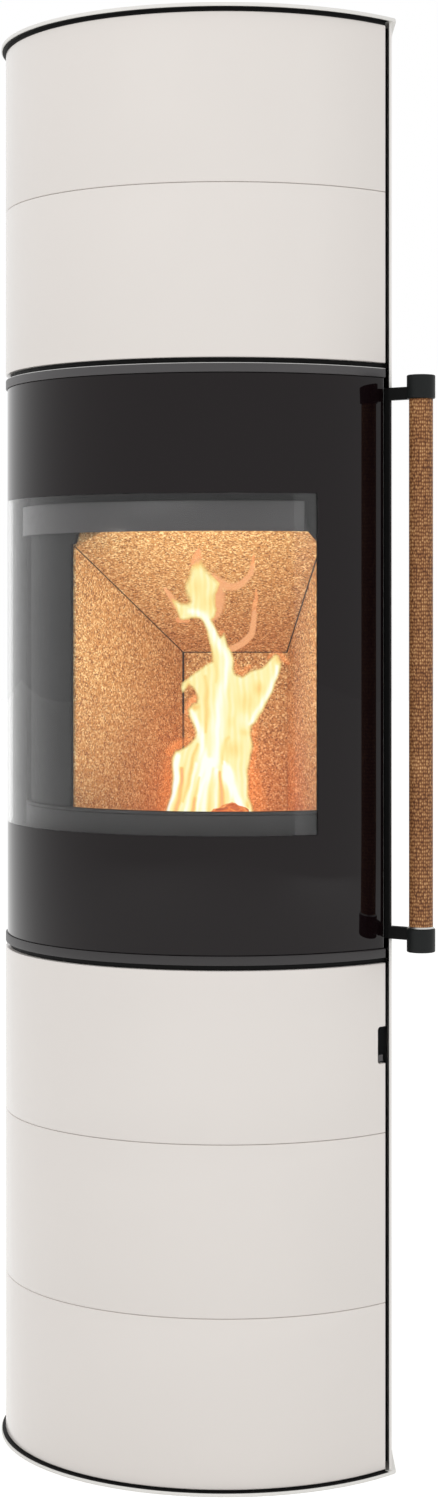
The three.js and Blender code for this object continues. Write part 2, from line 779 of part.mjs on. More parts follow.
const gratePlan = rectangle(grateCentre, grateSize, grateCornerRadius);
const slotRoom = grateSize[1] - 2 * grateRim;
for (let row = 0; row < grateSlots; row += 1) {
  const depth = grateCentre[1] - slotRoom / 2 + slotRoom * ((row + 0.5) / grateSlots);
  gratePlan.holes.push(slot([grateCentre[0], depth], grateSize[0] - 2 * grateRim, grateSlotWidth));
}
piece('grate', extrude(gratePlan, grateBottom, grateBottom + grateThickness, { steps: 1 }), 'castIron');

// ---------------------------------------------------------------- combustion air control

// Built facing the front, then turned to the notch's bearing.
const airControl = new THREE.Group();
airControl.rotation.z = degToRad(notchBearing);
stove.add(airControl);

const airBoxLeft = airBoxOffset - airBoxSize[0] / 2;
const airBoxRight = airBoxOffset + airBoxSize[0] / 2;
const airBoxRear = -airBoxFace + airBoxSize[1];
const portHeight = notchBottom + portRise;
const leverBottom = notchBottom + leverMargin;
const leverTravel = notchTop - leverMargin - leverLip - leverBottom;
const leverTip = bodyRadius - leverRecess;
const portCentres = [airBoxOffset - portSpacing / 2, airBoxOffset + portSpacing / 2];

const portCutters = (height) => portCentres.map((x) => box(
  [x - portSize / 2, -bodyRadius, height - portSize / 2],
  [x + portSize / 2, -airBoxFace + airBoxWall * 2, height + portSize / 2],
));
piece('air_box', cut(
  box([airBoxLeft, -airBoxFace, airBoxBottom], [airBoxRight, airBoxRear, airBoxTop]),
  box(
    [airBoxLeft + airBoxWall, -airBoxFace + airBoxWall, airBoxBottom + airBoxWall],
    [airBoxRight - airBoxWall, airBoxRear - airBoxWall, airBoxTop + past],
  ),
  cylinderAlongDepth(
    airPipeRadius - airPipeWall, airBoxRear - airBoxWall * 2, airBoxRear + past, airBoxOffset, airPipeHeight,
  ),
  ...portCutters(portHeight),
), 'carcass', airControl);

const plateFront = -airBoxFace - slide - slidePlateThickness;
const plateLeft = airBoxOffset - slidePlateWidth / 2;
const plateRight = airBoxOffset + slidePlateWidth / 2;
piece('air_slide_plate', cut(
  box(
    [plateLeft, plateFront, portHeight - leverTravel - portSize / 2 - plateMargin],
    [plateRight, -airBoxFace - slide, portHeight + portSize / 2 + plateMargin],
  ),
  ...portCutters(portHeight - leverTravel),
), 'greySteel', airControl);

// Each guide is an angle whose lip holds one edge of the slide plate.
for (const [side, edge, away] of [['left', plateLeft, -1], ['right', plateRight, 1]]) {
  const inner = edge + away * slide;
  const outer = inner + away * guideFoot;
  const lipBack = plateFront - slide;
  const lipFront = lipBack - airBoxWall;
  const outline = [
    [inner, -airBoxFace - seat], [outer, -airBoxFace - seat], [outer, lipFront],
    [inner - away * guideLip, lipFront], [inner - away * guideLip, lipBack], [inner, lipBack],
  ];
  const plan = polygon(away > 0 ? outline.reverse() : outline);
  const guide = extrude(plan, airBoxBottom + plateMargin, airBoxTop - plateMargin);
  piece(`air_guide_${side}`, guide, 'carcass', airControl);
}

// The lever reaches from the slide plate through the carcass into the tile's notch.
piece('air_lever', join(
  box(
    [-leverWidth / 2, -leverTip, leverBottom],
    [leverWidth / 2, plateFront - seat, leverBottom + leverThickness],
  ),
  box(
    [-leverWidth / 2, -leverTip, leverBottom],
    [leverWidth / 2, -leverTip + leverLipThickness, leverBottom + leverLip],
  ),
), 'greySteel', airControl);

// Air pipe: straight out of the box, then round to the hole in the back panel.
const forward = polar(1, notchBearing).negate();
const alongBox = polar(airBoxOffset, notchBearing + 90);
const pipeStart = polar(-airBoxRear - seat, notchBearing).add(alongBox);
const pipeTurn = pipeStart.clone().addScaledVector(forward, airPipeBend);
const pipePath = new THREE.CubicBezierCurve3(
  new THREE.Vector3(pipeStart.x, pipeStart.y, airPipeHeight),
  new THREE.Vector3(pipeTurn.x, pipeTurn.y, airPipeHeight),
  new THREE.Vector3(airPipeExit, flatDistance - airPipeBend, airPipeHeight),
  new THREE.Vector3(airPipeExit, flatDistance + airPipeProud, airPipeHeight),
);
const pipeSection = circle([0, 0], airPipeRadius, pipeSides);
pipeSection.holes.push(circle([0, 0], airPipeRadius - airPipeWall, pipeSides));
piece('air_pipe', new THREE.ExtrudeGeometry(pipeSection, {
  steps: pipeSteps, extrudePath: pipePath,
}), 'carcass');

// ---------------------------------------------------------------- smoke outlet and heat store

const smokeBoxBottom = upperShelfTop + seat;
const smokeBoxTop = smokeBoxBottom + smokeBoxHeight;
const smokeInner = smokeBoxHalf - smokeBoxWall;
piece('smoke_box', cut(
  box([-smokeBoxHalf, -smokeBoxHalf, smokeBoxBottom], [smokeBoxHalf, smokeBoxHalf, smokeBoxTop]),
  box(
    [-smokeInner, -smokeInner, smokeBoxBottom - past],
    [smokeInner, smokeInner, smokeBoxTop - smokeBoxWall],
  ),
  cylinderAlongDepth(collarRadius - collarWall, 0, smokeBoxHalf + past, 0, collarHeight),
), 'carcass');

const collarSection = circle([0, 0], collarRadius);
collarSection.holes.push(circle([0, 0], collarRadius - collarWall));
const collar = extrude(collarSection, 0, flueRear - smokeBoxHalf - seat);
collar.rotateX(Math.PI / 2).translate(0, flueRear, collarHeight);
piece('flue_collar', collar, 'blackSteel');

// Two ring blocks round the smoke box, with a way out for the collar, and a closed block on top.
const storeHole = smokeBoxHalf + storeBoxGap;
const collarWay = collarRadius + storeBoxGap;
const collarCut = box(
  [-collarWay, 0, collarHeight - collarWay],
  [collarWay, flatDistance, collarHeight + collarWay],
);
storeHeights.reduce((bottom, height, index) => {
  const closed = index === storeHeights.length - 1;
  const plan = cornerSharp(carcassRadius - carcassWall - storeGap, carcassFlat - carcassWall - storeGap);
  if (!closed) plan.holes.push(rectangle([0, 0], [2 * storeHole, 2 * storeHole]));
  const block = extrude(plan, bottom, bottom + height);
  piece(`heat_store_${index + 1}`, closed ? block : cut(block, collarCut), 'store');
  return bottom + height + seat;
}, upperShelfTop + seat);

// ---------------------------------------------------------------- door

const door = new THREE.Group();
stove.add(door);
const hingeAxis = polar(hingeRadius, hingeBearing);

const pinHole = (bottom, top) => extrude(
  circle([hingeAxis.x, hingeAxis.y], hingePinRadius + hingePinClearance, pinSides), bottom, top,
);
const railPlan = sector(railInner, bodyRadius, doorStart, tileEnd);
const rail = (bottom) => extrude(railPlan, bottom, bottom + railHeight, { steps: fineArc });
const eyeBottom = doorTop - hingePinLength;
piece(
  'door_rail_bottom', cut(rail(doorBottom), pinHole(doorBottom - past, doorBottom + hingePinLength)),
  'greySteel', door,
);
piece(
  'door_rail_top', cut(rail(doorTop - railHeight), pinHole(eyeBottom, doorTop + past)),
  'greySteel', door,
);

const pin = (bottom) => extrude(
  circle([hingeAxis.x, hingeAxis.y], hingePinRadius, pinSides), bottom, bottom + hingePinLength,
);
piece('hinge_pin_lower', pin(lowerShelfTop + seat), 'greySteel');
piece('hinge_pin_upper', pin(upperShelfBottom - seat - hingePinLength), 'greySteel');

const glassEnd = tileEnd - glassEndMargin;
piece('door_glass', extrude(
  sector(glassRadius - glassThickness, glassRadius, doorStart, glassEnd),
  glassBottom, glassTop, { steps: fineArc },
), 'glass', door);

// Black ceramic print on the inside of the glass, with the clear window left open.
const windowBottom = doorBottom + windowRise;
piece('glass_print', cut(
  extrude(
    sector(printRadius - printThickness, printRadius, doorStart, glassEnd),
    glassBottom, glassTop, { steps: fineArc },
  ),
  extrude(
    sector(printRadius - printThickness - past, printRadius + past, ...windowBearings),
    windowBottom, windowBottom + windowHeight,
  ),
), 'print', door);

const stile = (from, to) => extrude(
  sector(railInner, stileRadius, from, to), glassBottom, glassTop, { steps: shortArc },
);
piece('hinge_stile', stile(doorStart, doorStart + hingeStileBearingWidth), 'greySteel', door);
piece('handle_stile', stile(handleStileEnd - handleStileBearingWidth, handleStileEnd), 'greySteel', door);

const sealTurn = radToDeg(sealWidth / sealRadius);
const sealStart = doorStart + radToDeg(hingeEdge / hingeRadius);
const sealBottom = doorBottom + sealMargin;
const sealTop = doorTop - sealMargin;
piece('door_seal', cut(
  extrude(sector(sealRadius - sealDepth, sealRadius, sealStart, frontPlateEnd), sealBottom, sealTop),
  extrude(
    sector(sealRadius - sealDepth - past, sealRadius + past, sealStart + sealTurn, frontPlateEnd - sealTurn),
    sealBottom + sealWidth, sealTop - sealWidth,
  ),
), 'rope', door);

// ---------------------------------------------------------------- handle and latch

const handleAxis = polar(bodyRadius + handleStandOff, tileEnd + handleTurn);

// Bar on the door's free edge. Its latch tongue is an arc round the hinge axis, so it leaves the clip freely.
const tonguePlan = new THREE.Shape();
const tongueNear = hingeAxis.distanceTo(polar(frontPlateRadius, frontPlateEnd)) + tongueClearance;
const tongueFar = tongueNear + tongueWidth;
const barRoot = polar(railInner, (barStart + barEnd) / 2).sub(hingeAxis);
const tongueFrom = Math.atan2(barRoot.y, barRoot.x);
const tongueTo = tongueFrom + degToRad(tongueTurn);
const tongueBottom = doorBottom + tongueRise;
const tongueTop = tongueBottom + tongueThickness;
tonguePlan.absarc(hingeAxis.x, hingeAxis.y, tongueFar, tongueFrom, tongueTo, false);
tonguePlan.absarc(hingeAxis.x, hingeAxis.y, tongueNear, tongueTo, tongueFrom, true);
tonguePlan.closePath();
const barBottom = rodBottom - armHeight;
const barTop = rodTop + armHeight;
piece('handle_bar', join(
  extrude(sector(railInner - tongueThickness, barRadius, barStart, barEnd), barBottom, barTop, { steps: 2 }),
  extrude(tonguePlan, tongueBottom, tongueTop, { steps: 3 }),
), 'blackSteel', door);

const barEdge = polar(barRadius, (barStart + barEnd) / 2);
const armLine = new THREE.Vector2(handleAxis.x - barEdge.x, handleAxis.y - barEdge.y).normalize();
const armSide = new THREE.Vector2(-armLine.y, armLine.x).multiplyScalar(armWidth / 2);
const armStart = barEdge.clone().addScaledVector(armLine, seat);
const armPlan = polygon([
  [armStart.x - armSide.x, armStart.y - armSide.y],
  [handleAxis.x - armSide.x, handleAxis.y - armSide.y],
  [handleAxis.x + armSide.x, handleAxis.y + armSide.y],
  [armStart.x + armSide.x, armStart.y + armSide.y],
]);
const armCut = (bottom) => extrude(
  circle([handleAxis.x, handleAxis.y], capRadius + seat, armCutSides),
  bottom - past, bottom + armHeight + past,
);
const arm = (bottom) => cut(extrude(armPlan, bottom, bottom + armHeight), armCut(bottom));
piece('handle_arm_lower', arm(barBottom), 'blackSteel', door);
piece('handle_arm_upper', arm(barTop - armHeight), 'blackSteel', door);

const handleGroup = new THREE.Group();
handleGroup.position.set(handleAxis.x, handleAxis.y, 0);
door.add(handleGroup);
piece('handle_rod', revolve([
  [0, rodBottom + seat], [rodRadius, rodBottom + seat], [rodRadius, rodTop - seat], [0, rodTop - seat],
], handleSides), 'rod', handleGroup);
const cap = (bottom, top) => revolve([
  [0, bottom], [capRadius - capBevel, bottom], [capRadius, bottom + capBevel],
  [capRadius, top - capBevel], [capRadius - capBevel, top], [0, top],
], handleSides);
piece('handle_cap_lower', cap(rodBottom - capHeight, rodBottom), 'cap', handleGroup);
piece('handle_cap_upper', cap(rodTop, rodTop + capHeight), 'cap', handleGroup);

// Latch clip: a folded spring on the side panel whose leaves pass above and below the tongue.
const clipRight = panelInner - seat;
const clipLeft = clipRight - clipReach;
const clipLow = tongueBottom - slide - clipSheet;
const clipHigh = tongueTop + slide + clipSheet;
const clipRear = hingeAxis.y + tongueFar * Math.sin(tongueTo) - clipOverlap + clipLength;
const clip = extrude(polygon([
  [clipLeft, clipLow], [clipRight, clipLow], [clipRight, clipHigh], [clipLeft, clipHigh],
  [clipLeft, clipHigh - clipSheet], [clipRight - clipSheet, clipHigh - clipSheet],
  [clipRight - clipSheet, clipLow + clipSheet], [clipLeft, clipLow + clipSheet],
]), 0, clipLength);
clip.rotateX(Math.PI / 2).translate(0, clipRear, 0);
piece('latch_clip', clip, 'greySteel');

export default stove;
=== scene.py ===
# %% [markdown]
# # Dressing a tall tiled stove
# The stove arrives as a frame of plain solids at their real size. This lesson gives it its looks.
# Solids whose shape is already right keep their place and only get a finish. The pieces that the eye
# rests on, such as tiles, glass and handle, are made again with soft edges and stand in for theirs.

# %% Load the frame
import json
import math

import bmesh
import bpy
import numpy as np
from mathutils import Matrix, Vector, noise

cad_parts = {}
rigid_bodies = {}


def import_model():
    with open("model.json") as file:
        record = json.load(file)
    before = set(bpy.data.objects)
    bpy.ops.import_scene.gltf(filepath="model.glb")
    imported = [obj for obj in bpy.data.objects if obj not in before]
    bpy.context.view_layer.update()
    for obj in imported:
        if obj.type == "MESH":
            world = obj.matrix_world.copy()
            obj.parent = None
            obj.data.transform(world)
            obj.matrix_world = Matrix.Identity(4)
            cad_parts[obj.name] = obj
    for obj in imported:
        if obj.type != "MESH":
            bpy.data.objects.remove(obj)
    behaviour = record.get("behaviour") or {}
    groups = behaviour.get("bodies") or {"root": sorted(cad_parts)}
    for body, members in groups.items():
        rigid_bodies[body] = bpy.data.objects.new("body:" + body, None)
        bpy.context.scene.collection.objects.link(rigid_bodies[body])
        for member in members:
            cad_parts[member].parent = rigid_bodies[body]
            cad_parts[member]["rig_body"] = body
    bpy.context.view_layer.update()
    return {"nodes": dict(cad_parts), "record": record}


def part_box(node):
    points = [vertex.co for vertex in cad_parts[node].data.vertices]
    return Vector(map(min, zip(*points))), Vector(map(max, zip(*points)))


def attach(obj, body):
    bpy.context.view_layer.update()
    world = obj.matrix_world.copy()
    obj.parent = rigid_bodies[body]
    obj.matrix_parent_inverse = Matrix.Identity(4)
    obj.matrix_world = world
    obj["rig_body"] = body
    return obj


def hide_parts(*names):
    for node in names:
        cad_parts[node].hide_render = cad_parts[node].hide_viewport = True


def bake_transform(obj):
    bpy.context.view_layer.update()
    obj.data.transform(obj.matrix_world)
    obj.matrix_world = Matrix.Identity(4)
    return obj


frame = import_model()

# %% [markdown]
# ## The camera
# A photograph of a tall thing is taken from some way off, with the camera level, so that upright edges
# stay upright. The sensor is then slid down a little to bring the foot into the picture, which is what
# the lens shift below does. Tilting the camera would do it too, but the edges would lean together.
# The numbers follow from three things seen in the picture: the column of the stove's axis, the row at
# eye level, where curved edges look straight, and how fast edges curve above and below that row.

# %% Camera
PHOTO_WIDTH, PHOTO_HEIGHT = 438, 1500      # pixels
AXIS_COLUMN = 225                          # the stove's axis, in pixels from the left
EYE_ROW = 616                              # eye level, in pixels from the top
FOCAL_PIXELS = 2693
EYE_HEIGHT = 1.0625
EYE_DISTANCE = 3.5387                      # from the stove's axis
SENSOR = 36.0                              # millimetres, along the picture's long side

camera_data = bpy.data.cameras.new("camera")
camera_data.sensor_width = SENSOR
camera_data.lens = SENSOR * FOCAL_PIXELS / PHOTO_HEIGHT
camera_data.shift_x = (PHOTO_WIDTH / 2 - AXIS_COLUMN) / PHOTO_HEIGHT
camera_data.shift_y = (EYE_ROW - PHOTO_HEIGHT / 2) / PHOTO_HEIGHT
camera = bpy.data.objects.new("camera", camera_data)
camera.location = (0, -EYE_DISTANCE, EYE_HEIGHT)
camera.rotation_euler = (math.radians(90), 0, 0)
bpy.context.scene.collection.objects.link(camera)
bpy.context.scene.camera = camera
bpy.context.scene.view_settings.view_transform = "Standard"
print(f"camera: lens {camera_data.lens:.1f} mm, shift {camera_data.shift_x:.4f}, {camera_data.shift_y:.4f}")

# %% [markdown]
# ## Sizes read from the frame
# What the frame's boxes tell is read from them. A tile's box gives the radius of the round front, and
# where its right end lies gives the bearing of that end: an angle round the stove's axis, 0 at the
# front and growing to the right. The left end mirrors it about the stove's diagonal. Only what no box
# tells, such as how thick a bent sheet is, gets a value of its own.

# %% Sizes
MM = 0.001


def low(node):
    """The lowest corner of a node's box."""
    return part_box(node)[0]


def high(node):
    """The highest corner of a node's box."""
    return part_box(node)[1]


def polar(radius, bearing, height=0.0):
    """The point at a radius and a bearing in degrees round the stove's axis."""
    turn = math.radians(bearing)
    return Vector((radius * math.sin(turn), -radius * math.cos(turn), height))


def bearing_of(spot):
    """The bearing of a point in degrees."""
    return math.degrees(math.atan2(spot.x, -spot.y))


def reach(node):
    """The smallest and largest radius of a node's vertices, and its first and last bearing."""
    spots = [vertex.co for vertex in frame["nodes"][node].data.vertices]
    radii = [math.hypot(spot.x, spot.y) for spot in spots]
    bearings = [bearing_of(spot) for spot in spots]
    return min(radii), max(radii), min(bearings), max(bearings)


TILE_THICKNESS = 25 * MM
GLASS_SET_BACK, GLASS_THICKNESS = 2 * MM, 4 * MM
HINGE_TURN = 22.9                          # degrees from the tiles' left end to the hinge's axis
HINGE_INSET = 12 * MM                      # the axis behind the tiles' face
HINGE_EDGE = 7 * MM                        # door that lies behind the axis
tile_radius = -low("lower_tile_1").y
tile_end = math.degrees(math.asin(high("lower_tile_1").x / tile_radius))
tile_start = -90 - tile_end
tile_inner = tile_radius - TILE_THICKNESS
glass_radius = tile_radius - GLASS_SET_BACK
glass_inner = glass_radius - GLASS_THICKNESS
door_start = tile_start + HINGE_TURN - math.degrees(HINGE_EDGE / (tile_radius - HINGE_INSET))
print(f"tiles: radius {tile_radius:.4f} m, bearings {tile_start:.2f} to {tile_end:.2f}")

# %% [markdown]
# ## Cutting and bending sheets
# Tiles, glass and steel fronts are all one kind of thing: a flat outline given a thickness and bent
# round the same axis. A maker cuts first and bends afterwards, and so do these helpers. A 2D curve
# fills its outlines, holes too, and its bevel rounds the edges by the same amount everywhere, which
# a Bevel modifier after bending would not do as evenly.

# %% Cut sheets
WELD = 1e-5                                # vertices nearer than this become one
ROUNDING_STEPS = 2


def cut_sheet(outlines, thickness, edge=0.0):
    """A flat sheet from height 0 to its thickness, cut to closed outlines, as a bmesh."""
    curve = bpy.data.curves.new("outline", "CURVE")
    curve.dimensions = "2D"
    curve.fill_mode = "BOTH"
    curve.extrude = thickness / 2 - edge
    curve.bevel_depth = edge
    curve.bevel_resolution = ROUNDING_STEPS
    curve.offset = -edge
    for outline in outlines:
        spline = curve.splines.new("POLY")
        spline.points.add(len(outline) - 1)
        for point, (x, y) in zip(spline.points, outline):
            point.co = (x, y, 0, 1)
        spline.use_cyclic_u = True
    blank = bpy.data.objects.new("blank", curve)
    bpy.context.scene.collection.objects.link(blank)
    bpy.context.view_layer.update()
    depsgraph = bpy.context.evaluated_depsgraph_get()
    mesh = bpy.data.meshes.new_from_object(blank.evaluated_get(depsgraph), depsgraph=depsgraph)
    bpy.data.objects.remove(blank)
    bpy.data.curves.remove(curve)
    sheet = bmesh.new()
    sheet.from_mesh(mesh)
    bpy.data.meshes.remove(mesh)
    bmesh.ops.remove_doubles(sheet, verts=sheet.verts, dist=WELD)
    bmesh.ops.translate(sheet, verts=sheet.verts, vec=(0, 0, thickness / 2))
    return sheet


print("sheet helper: cut_sheet")

# %% [markdown]
# **Bending**: a cut sheet has corners only along its outline, so it can't bend yet. Straight cuts
# across it give it enough of them, and then each moves from flat (along, up, out) to round (bearing,
# up, out). Its length is kept at its outer face, as it would be on a drawing of the unrolled piece.

# %% Bent sheets
BEND_STEP = 1.5                            # degrees between the edges that let a sheet bend


def slice_sheet(sheet, place_at, direction):
    """A straight cut through the whole sheet, which only adds edges."""
    everything = [*sheet.verts, *sheet.edges, *sheet.faces]
    bmesh.ops.bisect_plane(sheet, geom=everything, plane_co=place_at, plane_no=direction, dist=WELD / 100)


def bent_sheet(outlines, inner, outer, edge=0.0, step=BEND_STEP, marks=()):
    """A sheet cut to outlines of (bearing, height) and bent between two radii.

    Marks are corners of a pattern on the sheet, which gets edges along their bearings and heights.
    """
    along = math.radians(1) * outer
    sheet = cut_sheet([[(b * along, z) for b, z in line] for line in outlines], outer - inner, edge)
    bearings = [b for line in outlines for b, _ in line]
    first, span = min(bearings), max(bearings) - min(bearings)
    cuts = int(span / step)
    for cut in range(1, cuts + 1):
        bearing = first + span * cut / (cuts + 1)
        slice_sheet(sheet, (bearing * along, 0, 0), (1, 0, 0))
    for bearing, height in marks:
        slice_sheet(sheet, (bearing * along, 0, 0), (1, 0, 0))
        slice_sheet(sheet, (0, height, 0), (0, 1, 0))
    for vertex in sheet.verts:
        vertex.co = polar(inner + vertex.co.z, vertex.co.x / along, vertex.co.y)
    return sheet


def panel(start, end, bottom, top):
    """The outline of a plain bent panel."""
    return [(start, bottom), (end, bottom), (end, top), (start, top)]


def round_corner(centre, radius, start, end, steps=6):
    """Points of an arc between two angles in degrees."""
    turns = [math.radians(start + (end - start) * step / steps) for step in range(steps + 1)]
    return [(centre[0] + radius * math.cos(a), centre[1] + radius * math.sin(a)) for a in turns]


print("sheet helpers: slice_sheet, bent_sheet, panel, round_corner")

# %% [markdown]
# ## Placing a piece
# Every piece needs the same four things: an object in the scene, a finish, shading that is smooth over
# its curves and crisp at its edges, and the body of the frame that it moves with. One function does all
# four, so that none is forgotten.

# %% Place
SMOOTH_ANGLE = math.radians(32)
finishes = {}


def place(name, sheet, finish, *nodes, body=None, slot=None, angle=SMOOTH_ANGLE, rigid=True):
    """Turns a bmesh into a named piece with a finish. It stands for the CAD nodes that are named.

    A piece that isn't rigid is left without a body.
    """
    mesh = bpy.data.meshes.new(name)
    bmesh.ops.recalc_face_normals(sheet, faces=sheet.faces)
    sheet.to_mesh(mesh)
    sheet.free()
    mesh.shade_smooth()
    mesh.set_sharp_from_angle(angle=angle)
    mesh.materials.append(finishes[finish])
    made = bpy.data.objects.new(name, mesh)
    bpy.context.scene.collection.objects.link(made)
    if rigid:
        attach(made, body or frame["nodes"][nodes[0]]["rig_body"])
    if nodes:
        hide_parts(*nodes)
    return made


# %% [markdown]
# ## Writing shaders in few words
# A finish is a small graph of nodes. The first helpers write a colour as the eye knows it, from 0 to
# 255, instead of in the linear light that Blender counts in, and add a node with its settings and its
# inputs, where an input is either a number or the output of another node.

# %% Node helpers


def linear(red, green, blue):
    """A colour given from 0 to 255, as linear light with full alpha."""
    shares = [value / 255 for value in (red, green, blue)]
    light = [s / 12.92 if s <= 0.04045 else ((s + 0.055) / 1.055) ** 2.4 for s in shares]
    return (*light, 1.0)


def set_socket(tree, socket, value):
    """Links a socket to another one, or gives it a number or colour."""
    if isinstance(value, bpy.types.NodeSocket):
        tree.links.new(value, socket)
    else:
        socket.default_value = value


def add(tree, kind, inputs=None, **settings):
    """Adds a node. Inputs are numbers, colours or the sockets that they come from."""
    node = tree.nodes.new(kind)
    for key, value in settings.items():
        setattr(node, key, value)
    for key, value in (inputs or {}).items():
        set_socket(tree, node.inputs[key], value)
    return node


print("node helpers: linear, set_socket, add")

# %% [markdown]
# **Four nodes for everything**: nearly all finishes come down to a colour ramp, a mix of two colours,
# a little arithmetic and a bump. Each of these gets a helper that gives back the one output that the
# next node needs, so that a graph reads like a formula.

# %% Graph helpers


def ramp(tree, factor, *stops):
    """A colour ramp through stops of (position, colour)."""
    node = add(tree, "ShaderNodeValToRGB", {"Fac": factor})
    elements = node.color_ramp.elements
    while len(elements) < len(stops):
        elements.new(0.5)
    for element, (position, colour) in zip(elements, stops):
        element.position = position
        element.color = colour
    return node.outputs["Color"]


def blend_colours(tree, factor, first, second):
    """Mixes two colours by a factor."""
    node = add(tree, "ShaderNodeMix", data_type="RGBA")
    for key, value in (("Factor", factor), ("A", first), ("B", second)):
        set_socket(tree, next(s for s in node.inputs if s.name == key and s.enabled), value)
    return next(s for s in node.outputs if s.enabled)


def sums(tree, operation, *values):
    """A Math node on numbers or sockets."""
    node = add(tree, "ShaderNodeMath", operation=operation)
    for socket, value in zip(node.inputs, values):
        set_socket(tree, socket, value)
    return node.outputs[0]


def relief(tree, height, strength, distance, invert=False):
    """The normals of a surface that a height raises by up to a distance."""
    inputs = {"Height": height, "Strength": strength, "Distance": distance}
    return add(tree, "ShaderNodeBump", inputs, invert=invert).outputs["Normal"]


print("graph helpers: ramp, blend_colours, sums, relief")

# %% [markdown]
# **Finishes** are materials with Blender's all-round shader, the Principled BSDF. What is the same all
# over a surface is set on the shader itself, and only what changes from place to place comes from a
# graph. Every finish is kept under its name, so that a piece can ask for it.

# %% Finish helpers


def new_finish(slot, **settings):
    """A material for one slot of the record. Its settings are the shader's own, such as Roughness."""
    material = bpy.data.materials.new(slot)
    material.use_nodes = True
    shader = material.node_tree.nodes["Principled BSDF"]
    for socket, value in settings.items():
        shader.inputs[socket.replace("_", " ")].default_value = value
    finishes[slot] = material
    return material.node_tree, shader


def feed(tree, shader, **sources):
    """Links outputs to the shader's sockets."""
    for socket, source in sources.items():
        tree.links.new(source, shader.inputs[socket.replace("_", " ")])


print("finish helpers: new_finish, feed")

# %% [markdown]
# ## Groups that several finishes share
# Paint, glaze and cast iron all have a skin that is never quite even. Fire board, stone and rope all
# look made of grains. Each such effect is built once as a group with its own sliders, and a finish
# places it with its own values. The groups put out only colours, masks and heights. The shader that
# they feed stays in the finish, so each finish can still be read by itself.

# %% Group helper


def new_group(name, inputs, outputs):
    """A shader group: inputs are (name, kind, value), outputs are (name, kind)."""
    tree = bpy.data.node_groups.new(name, "ShaderNodeTree")
    for label, kind, value in inputs:
        socket = tree.interface.new_socket(label, in_out="INPUT", socket_type=f"NodeSocket{kind}")
        socket.default_value = value
    for label, kind in outputs:
        tree.interface.new_socket(label, in_out="OUTPUT", socket_type=f"NodeSocket{kind}")
    entry = tree.nodes.new("NodeGroupInput").outputs
    way_out = tree.nodes.new("NodeGroupOutput").inputs
    place_in_object = tree.nodes.new("ShaderNodeTexCoord").outputs["Object"]
    return tree, entry, way_out, place_in_object


def use_group(tree, group, **values):
    """Places a group in a finish with its own values."""
    node = tree.nodes.new("ShaderNodeGroup")
    node.node_tree = group
    for key, value in values.items():
        set_socket(tree, node.inputs[key.replace("_", " ")], value)
    return node.outputs


WHITE = (1.0, 1.0, 1.0, 1.0)
BLACK = (0.0, 0.0, 0.0, 1.0)
print("group helpers: new_group, use_group")

# %% [markdown]
# **Skin**: the slight unevenness of a coating. A wide, soft noise shifts the colour by a few per cent,
# and a fine one gives the orange peel of paint or glaze as a height for the Bump node.

# %% Skin group
skin, entry, way_out, here = new_group(
    "skin",
    [("Colour", "Color", WHITE), ("Shift", "Float", 0.04), ("Wide Scale", "Float", 6.0),
     ("Fine Scale", "Float", 900.0), ("Fine Share", "Float", 0.5)],
    [("Colour", "Color"), ("Height", "Float"), ("Mask", "Float")],
)
wide = add(skin, "ShaderNodeTexNoise", {"Vector": here, "Scale": entry["Wide Scale"], "Detail": 3.0})
fine = add(skin, "ShaderNodeTexNoise", {"Vector": here, "Scale": entry["Fine Scale"], "Detail": 2.0})
centred = sums(skin, "SUBTRACT", wide.outputs["Fac"], 0.5)
gain = sums(skin, "ADD", sums(skin, "MULTIPLY", centred, sums(skin, "MULTIPLY", entry["Shift"], 2.0)), 1.0)
tint = add(skin, "ShaderNodeVectorMath", {0: entry["Colour"], 3: gain}, operation="SCALE")
peel = {0: entry["Fine Share"], 2: wide.outputs["Fac"], 3: fine.outputs["Fac"]}
mixed = add(skin, "ShaderNodeMix", peel, data_type="FLOAT")
skin.links.new(tint.outputs[0], way_out["Colour"])
skin.links.new(mixed.outputs[0], way_out["Height"])
skin.links.new(wide.outputs["Fac"], way_out["Mask"])
print("group: skin")

# %% [markdown]
# **Grains**: a body made of small bits. A Voronoi texture gives every grain a random
# value of its own, which a mix of three colours turns into dark, middle and light bits. Noise alone
# would melt them into clouds.

# %% Grains group
grains, entry, way_out, here = new_group(
    "grains",
    [("Dark", "Color", BLACK), ("Middle", "Color", WHITE), ("Light", "Color", WHITE),
     ("Scale", "Float", 500.0), ("Stretch", "Vector", (1.0, 1.0, 1.0)), ("Dark Share", "Float", 0.3),
     ("Light Share", "Float", 0.3)],
    [("Colour", "Color"), ("Height", "Float")],
)
stretched = add(grains, "ShaderNodeVectorMath", {0: here, 1: entry["Stretch"]}, operation="MULTIPLY")
cells = add(grains, "ShaderNodeTexVoronoi", {"Vector": stretched.outputs[0], "Scale": entry["Scale"]})
value = add(grains, "ShaderNodeSeparateColor", {"Color": cells.outputs["Color"]}).outputs["Red"]
darkness = add(
    grains, "ShaderNodeMapRange",
    {"Value": value, "From Min": 0.0, "From Max": entry["Dark Share"], "To Min": 1.0, "To Max": 0.0},
).outputs["Result"]
lightness = add(
    grains, "ShaderNodeMapRange",
    {"Value": value, "From Min": sums(grains, "SUBTRACT", 1.0, entry["Light Share"]), "From Max": 1.0},
).outputs["Result"]
darkened = blend_colours(grains, darkness, entry["Middle"], entry["Dark"])
grains.links.new(blend_colours(grains, lightness, darkened, entry["Light"]), way_out["Colour"])
grains.links.new(sums(grains, "SUBTRACT", value, cells.outputs["Distance"]), way_out["Height"])
print("group: grains")
